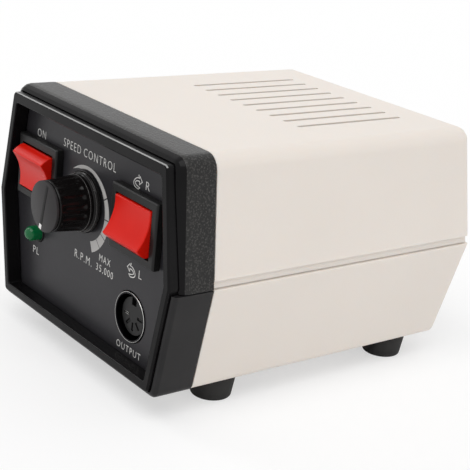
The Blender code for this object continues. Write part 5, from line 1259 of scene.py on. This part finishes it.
@dataclass
class OutputSocket:
    """The round five-way socket: blackened shell with a bright nickel ring that stands in for its rim's
    highlight, keyed insulator and contacts.

    Attributes:
        shell: outer radius of the shell.
        rim: the section of that bright ring, outward from the shell's radius and from its face, in mm.
        proud: how far the shell stands out of the panel.
        recess: how far the insulator's face lies behind the shell's rim.
        shell_edge: rounding of the shell's edges.
        insulator_edge: rounding of the insulator's edges.
        circle: radius of the contacts' circle.
        reach: half the width of a contact's leaf, along a radius.
        leaf: thickness of a leaf.
        apart: from a contact's middle to each of its two leaves.
        deep: how far a leaf reaches behind the insulator's face.
        edge: rounding of a leaf's edges.
        angles: where the contacts stand, in degrees.
        sunk: how far each contact's end lies behind the insulator's face, in mm.
    """

    shell: float = 7.9 * MM
    rim: tuple[Point, ...] = ((-0.20, -0.01), (-0.10, 0.02), (-0.03, -0.03), (0.01, -0.12), (-0.2, -0.3))
    proud: float = 0.4 * MM
    recess: float = 1.1 * MM
    shell_edge: float = 0.12 * MM
    insulator_edge: float = 0.10 * MM
    circle: float = 3.5 * MM
    reach: float = 1.15 * MM
    leaf: float = 0.16 * MM
    apart: float = 0.30 * MM
    deep: float = 5.5 * MM
    edge: float = 0.05 * MM
    angles: tuple[float, ...] = (0.0, 180.0, 225.0, 270.0, 315.0)
    sunk: tuple[float, ...] = (1.2, 0.3, 1.2, 1.2, 1.2)

    def build(self) -> None:
        """Makes the shell with its rolled rim, the insulator and the contacts' leaves."""
        middle = middle_of("output_socket_insulator")
        turn = on_panel(middle.x, middle.z, self.proud)
        refine("output_socket_shell", DARK_NICKEL, self.shell_edge)
        refine("output_socket_insulator", BLACK_NYLON, self.insulator_edge)
        # A bright nickel ring on the blackened rim stands in for the rolled edge's highlight.
        rim = [(self.shell + out * MM, height * MM) for out, height in self.rim]
        add_piece("output_socket_highlight_rim", lathe(rim), NICKEL, turn=turn)
        for i, (degrees, sunk) in enumerate(zip(self.angles, self.sunk)):
            spin = Matrix.Rotation(math.radians(degrees), 4, "Z")
            for side, hand in ((-1, "left"), (1, "right")):
                y, half = side * self.apart, self.leaf / 2
                leaf = block((self.circle - self.reach, y - half, -self.recess - self.deep),
                             (self.circle + self.reach, y + half, -self.recess - sunk * MM), self.edge, 2)
                add_piece(f"socket_contact_{i + 1}_{hand}", leaf, NICKEL, turn=turn @ spin)


@dataclass
class PilotLamp:
    """The green pilot lamp with its two leads, and the black clip that holds it.

    Attributes:
        radius: radius of the dome.
        reach: how far it stands out of the panel.
        back: where its rim starts, behind the panel's face.
        rim: radius of the rim that stops it in the clip.
        rim_length: length of that rim.
        lead: length of a lead.
        wire: radius of a lead.
        spread: from the lamp's axis to a lead.
        soft: rounding of the rim's and the leads' edges.
        clip: the clip's section, in mm.
    """

    radius: float = 2.5 * MM
    reach: float = 5.2 * MM
    back: float = -3.6 * MM
    rim: float = 2.9 * MM
    rim_length: float = 1.0 * MM
    lead: float = 6.5 * MM
    wire: float = 0.3 * MM
    spread: float = 1.25 * MM
    soft: float = 0.1 * MM
    clip: tuple[Point, ...] = ((2.72, 0.36), (2.78, 0.4), (3.02, 0.4), (3.1, 0.32), (3.1, -2.3), (3.66, -2.3),
                               (3.7, -2.34), (3.7, -3.26), (3.66, -3.3), (2.72, -3.3))

    def build(self) -> None:
        """Turns the clip and the dome, and gives the lamp its two leads."""
        middle = middle_of("pilot_lamp_holder")
        turn = on_panel(middle.x, middle.z)
        steps, shoulder = 14, self.reach - self.radius
        dome = [(self.radius * math.sin(a), shoulder + self.radius * math.cos(a))
                for a in (math.pi / 2 * i / steps for i in range(steps + 1))]
        end, soft, wire = self.back - self.rim_length, self.soft, self.wire
        tail = [(self.radius, self.back), (self.rim - soft, self.back), (self.rim, self.back - soft),
                (self.rim, end + soft), (self.rim - soft, end), (0.0, end)]
        add_piece("pilot_lamp_dome", lathe(dome + tail, 64), GREEN_EPOXY,
                  replaces=("pilot_lamp",), turn=turn)
        tip = end - self.lead
        for side, hand in ((-1, "left"), (1, "right")):
            lead = lathe([(0.0, end), (wire, end), (wire, tip + soft), (wire - soft, tip), (0.0, tip)], 16)
            add_piece(f"pilot_lamp_lead_{hand}", lead, ZINC,
                      turn=turn @ Matrix.Translation((side * self.spread, 0, 0)))
        add_piece("pilot_lamp_clip", lathe(in_mm(self.clip), 64), BLACK_NYLON,
                  replaces=("pilot_lamp_holder",), turn=turn)


@dataclass
class RearPanel:
    """The rear plate with the mains inlet, fuse holder, foot-control jack and voltage selector.

    Attributes:
        shells: what keeps its CAD form with rounded edges: node, finish, slot, rounding in mm, body.
        pins: the inlet's pins: name, and X and Z from the inlet's middle in mm.
        pin_half: half a pin's width and height, with the skin of nickel on it.
        pin_ends: from the inlet's face back to a pin's two ends.
        pin_edge: rounding of a pin's edges.
        bush_foot: height over the plate where the bush's thread starts.
        bush_top: height of the bush's face.
        bush_radii: radii of the bush's bore, the thread's root and its crest.
        bush_chamfer: chamfer of the bore, and how far the thread ends below the face.
        thread_pitch: pitch of the thread.
    """

    shells: tuple[tuple, ...] = (
        ("rear_panel", SATIN_ABS, "black_abs", 0.20, ROOT),
        ("mains_inlet", BLACK_NYLON, "black_nylon", 0.25, ROOT),
        ("fuse_holder", BLACK_NYLON, "black_nylon", 0.20, ROOT),
        ("fuse_cap", BLACK_NYLON, "black_nylon", 0.15, "fuse_cap"),
        ("foot_jack", BLACK_NYLON, "black_nylon", 0.20, ROOT),
        ("foot_jack_nut", NICKEL, "nickel", 0.25, ROOT),
        ("voltage_selector_body", BLACK_NYLON, "black_nylon", 0.15, ROOT),
        ("voltage_selector_slider", RED_NYLON, "red_nylon", 0.12, "voltage_selector_slider"))
    pins: tuple[tuple, ...] = (("earth", 0.0, 2.0), ("left", -7.0, -2.0), ("right", 7.0, -2.0))
    pin_half: Point = (1.06 * MM, 2.06 * MM)
    pin_ends: Point = (15.9 * MM, 1.94 * MM)
    pin_edge: float = 0.3 * MM
    bush_foot: float = 2.9 * MM
    bush_top: float = 4.56 * MM
    bush_radii: Triple = (3.24 * MM, 4.62 * MM, 4.70 * MM)
    bush_chamfer: Point = (0.2 * MM, 0.25 * MM)
    thread_pitch: float = 0.5 * MM

    def build_pins(self) -> None:
        """Sleeves the inlet's three pins in nickel."""
        middle, face = middle_of("mains_inlet"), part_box("mains_inlet")[1].y
        wide, tall = self.pin_half
        for name, x, z in self.pins:
            pin_x, pin_z = middle.x + x * MM, middle.z + z * MM
            pin = block((pin_x - wide, face - self.pin_ends[0], pin_z - tall),
                        (pin_x + wide, face - self.pin_ends[1], pin_z + tall), self.pin_edge)
            add_piece(f"inlet_pin_{name}", pin, NICKEL)

    def build_bush(self) -> None:
        """Turns the jack's threaded bush."""
        middle = middle_of("foot_jack_nut")
        foot, top, (bore, root, crest), (chamfer, relief) = (self.bush_foot, self.bush_top, self.bush_radii,
                                                             self.bush_chamfer)
        section = [(bore, foot), (bore, top - chamfer), (bore + chamfer, top), (root - relief, top)]
        for i in range(int((top - foot) / self.thread_pitch)):
            height = top - relief - self.thread_pitch * i
            section += [(root, height), (crest, height - self.thread_pitch / 2)]
        section.append((root, foot))
        add_piece("foot_jack_bush", lathe(section, 72), NICKEL,
                  turn=Matrix.Translation((middle.x, REAR_FACE_Y, middle.z)) @ REARWARD)

    def build(self) -> None:
        """Makes the plate and what it carries; bare metal follows the moulding that it belongs to."""
        metal = {"mains_inlet": self.build_pins, "foot_jack_nut": self.build_bush}
        for node, finish, slot, edge, body in self.shells:
            refine(node, finish, edge * MM, body)
            if node in metal:
                metal[node]()
        dress("fuse", FUSE_GLASS)
        dress("fuse_holder_nut", BLACK_NYLON)


@dataclass
class Inside:
    """What works inside the case; each piece keeps its CAD shape.

    Attributes:
        finishes: the pieces' finishes, by node.
    """

    finishes: dict[str, Finish] = field(default_factory=lambda: {
        "transformer_core": CORE_STEEL, "transformer_bobbin": NATURAL_NYLON,
        "transformer_winding": WINDING_TAPE, "transformer_bracket": ZINC, "circuit_board": BOARD_LACQUER,
        "smoothing_capacitor": BLUE_SLEEVE, "heat_sink": SINK_ALUMINIUM, "transistor_front": BLACK_NYLON,
        "transistor_rear": BLACK_NYLON, "bridge_rectifier": BLACK_NYLON, "potentiometer": ZINC,
        "potentiometer_nut": NICKEL})

    def build(self) -> None:
        """Dresses the inner pieces."""
        for node, finish in self.finishes.items():
            dress(node, finish)


# Studio

@dataclass
class Studio:
    """Camera, floor, world and lamps.

    Attributes:
        lens: focal length in mm.
        sensor: width of the sensor in mm.
        clip: the nearest and the farthest distance that the camera sees.
        eye: the camera's place.
        right: the camera's X axis.
        up: its Y axis.
        back: its Z axis, away from what it looks at.
        floor_colour: the floor paper's colour, sRGB hex.
        floor_radius: the floor's radius.
        floor_drop: how far it lies under the feet.
        paleness: how far the floor's shadow is lifted towards white for the camera.
        sky: strength of the world as a light.
        lamps: each lamp's name, strength, angle in degrees and the way to it.
    """

    lens: float = 94.93
    sensor: float = 36.0
    clip: Point = (0.01, 50.0)
    eye: Triple = (0.3073, -0.2491, 0.1732)
    right: Triple = (0.60782, 0.78724, 0.10395)
    up: Triple = (-0.31883, 0.12206, 0.93992)
    back: Triple = (0.72726, -0.60444, 0.32519)
    floor_colour: str = "#FCFCFC"
    floor_radius: float = 6.0
    floor_drop: float = 0.01 * MM
    paleness: float = 0.55
    sky: float = 0.58
    lamps: tuple[tuple, ...] = (("key", 1.34, 50, (0.32, -0.35, 1.0)),
                                ("rim", 0.30, 14, (-0.73, -0.33, 0.60)))

    def build_camera(self) -> None:
        """Puts the camera where the photograph was taken from."""
        data = bpy.data.cameras.new("photo_camera")
        data.lens, data.sensor_width = self.lens, self.sensor
        data.clip_start, data.clip_end = self.clip
        camera = in_scene("photo_camera", data)
        axes = Matrix((self.right, self.up, self.back)).transposed().to_4x4()
        camera.matrix_world = Matrix.Translation(self.eye) @ axes
        bpy.context.scene.camera = camera

    def build_floor(self) -> None:
        """Lays a pale round floor that keeps the box's shadow."""
        bm = bmesh.new()
        bmesh.ops.create_circle(bm, cap_ends=True, segments=64, radius=self.floor_radius)
        floor = in_scene("floor", to_mesh("floor", bm))
        floor.location.z = -self.floor_drop
        paper = bpy.data.materials.new("floor_paper")
        paper.use_nodes = True
        tree = paper.node_tree
        shader = tree.nodes["Principled BSDF"]
        for name, value in (("Base Color", linear(self.floor_colour)), ("Roughness", 0.9),
                            ("Specular IOR Level", 0.0)):
            shader.inputs[name].default_value = value
        seen = add_node(tree, "ShaderNodeLightPath").outputs["Is Camera Ray"]
        share = add_node(tree, "ShaderNodeMath", {"operation": "MULTIPLY", 1: self.paleness}, {0: seen})
        white = add_node(tree, "ShaderNodeEmission", {"Strength": 1.0})
        mixed = add_node(tree, "ShaderNodeMixShader",
                         links={0: share.outputs[0], 1: shader.outputs[0], 2: white.outputs[0]})
        tree.links.new(mixed.outputs[0], tree.nodes["Material Output"].inputs["Surface"])
        floor.data.materials.append(paper)

    def build_world(self) -> None:
        """Makes a world that looks white and lights at a lower level."""
        world = bpy.data.worlds.new("studio")
        bpy.context.scene.world = world
        world.use_nodes = True
        tree = world.node_tree
        tree.nodes.clear()
        path = add_node(tree, "ShaderNodeLightPath")
        seen = path.outputs["Is Camera Ray"]
        for name in ("Is Glossy Ray", "Is Transmission Ray"):
            seen = add_node(tree, "ShaderNodeMath", {"operation": "MAXIMUM"},
                            {0: seen, 1: path.outputs[name]}).outputs[0]
        strength = add_node(tree, "ShaderNodeMapRange", {"To Min": self.sky, "To Max": 1.0}, {"Value": seen})
        light = add_node(tree, "ShaderNodeBackground", {"Color": (1, 1, 1, 1)},
                         {"Strength": strength.outputs["Result"]})
        add_node(tree, "ShaderNodeOutputWorld", links={"Surface": light.outputs[0]})

    def build_lamps(self) -> None:
        """Hangs a broad key lamp over the box's front and a weaker one that grazes its upper edges."""
        for name, energy, spread, heading in self.lamps:
            data = bpy.data.lights.new(name, "SUN")
            data.energy, data.angle = energy, math.radians(spread)
            in_scene(name, data).rotation_euler = Vector(heading).to_track_quat("Z", "Y").to_euler()

    def build(self) -> None:
        """Sets the scene up."""
        self.build_camera()
        self.build_floor()
        self.build_world()
        self.build_lamps()
        bpy.context.scene.view_settings.view_transform = "Standard"


def main() -> None:
    """Builds every sub-assembly, then the studio."""
    logging.basicConfig(level=logging.INFO, format="%(message)s")
    feet = [Foot(f"foot_{end}_{side}") for end in ("front", "rear") for side in ("left", "right")]
    switches = [RockerSwitch("power", 15.0), RockerSwitch("direction", -18.0)]
    for assembly in (Case(), Screws(), *feet, FrontPanel(), *switches, SpeedKnob(), OutputSocket(),
                     PilotLamp(), RearPanel(), Inside(), Studio()):
        assembly.build()
        LOG.info("%s done", type(assembly).__name__)


if __name__ == "__main__":
    main()
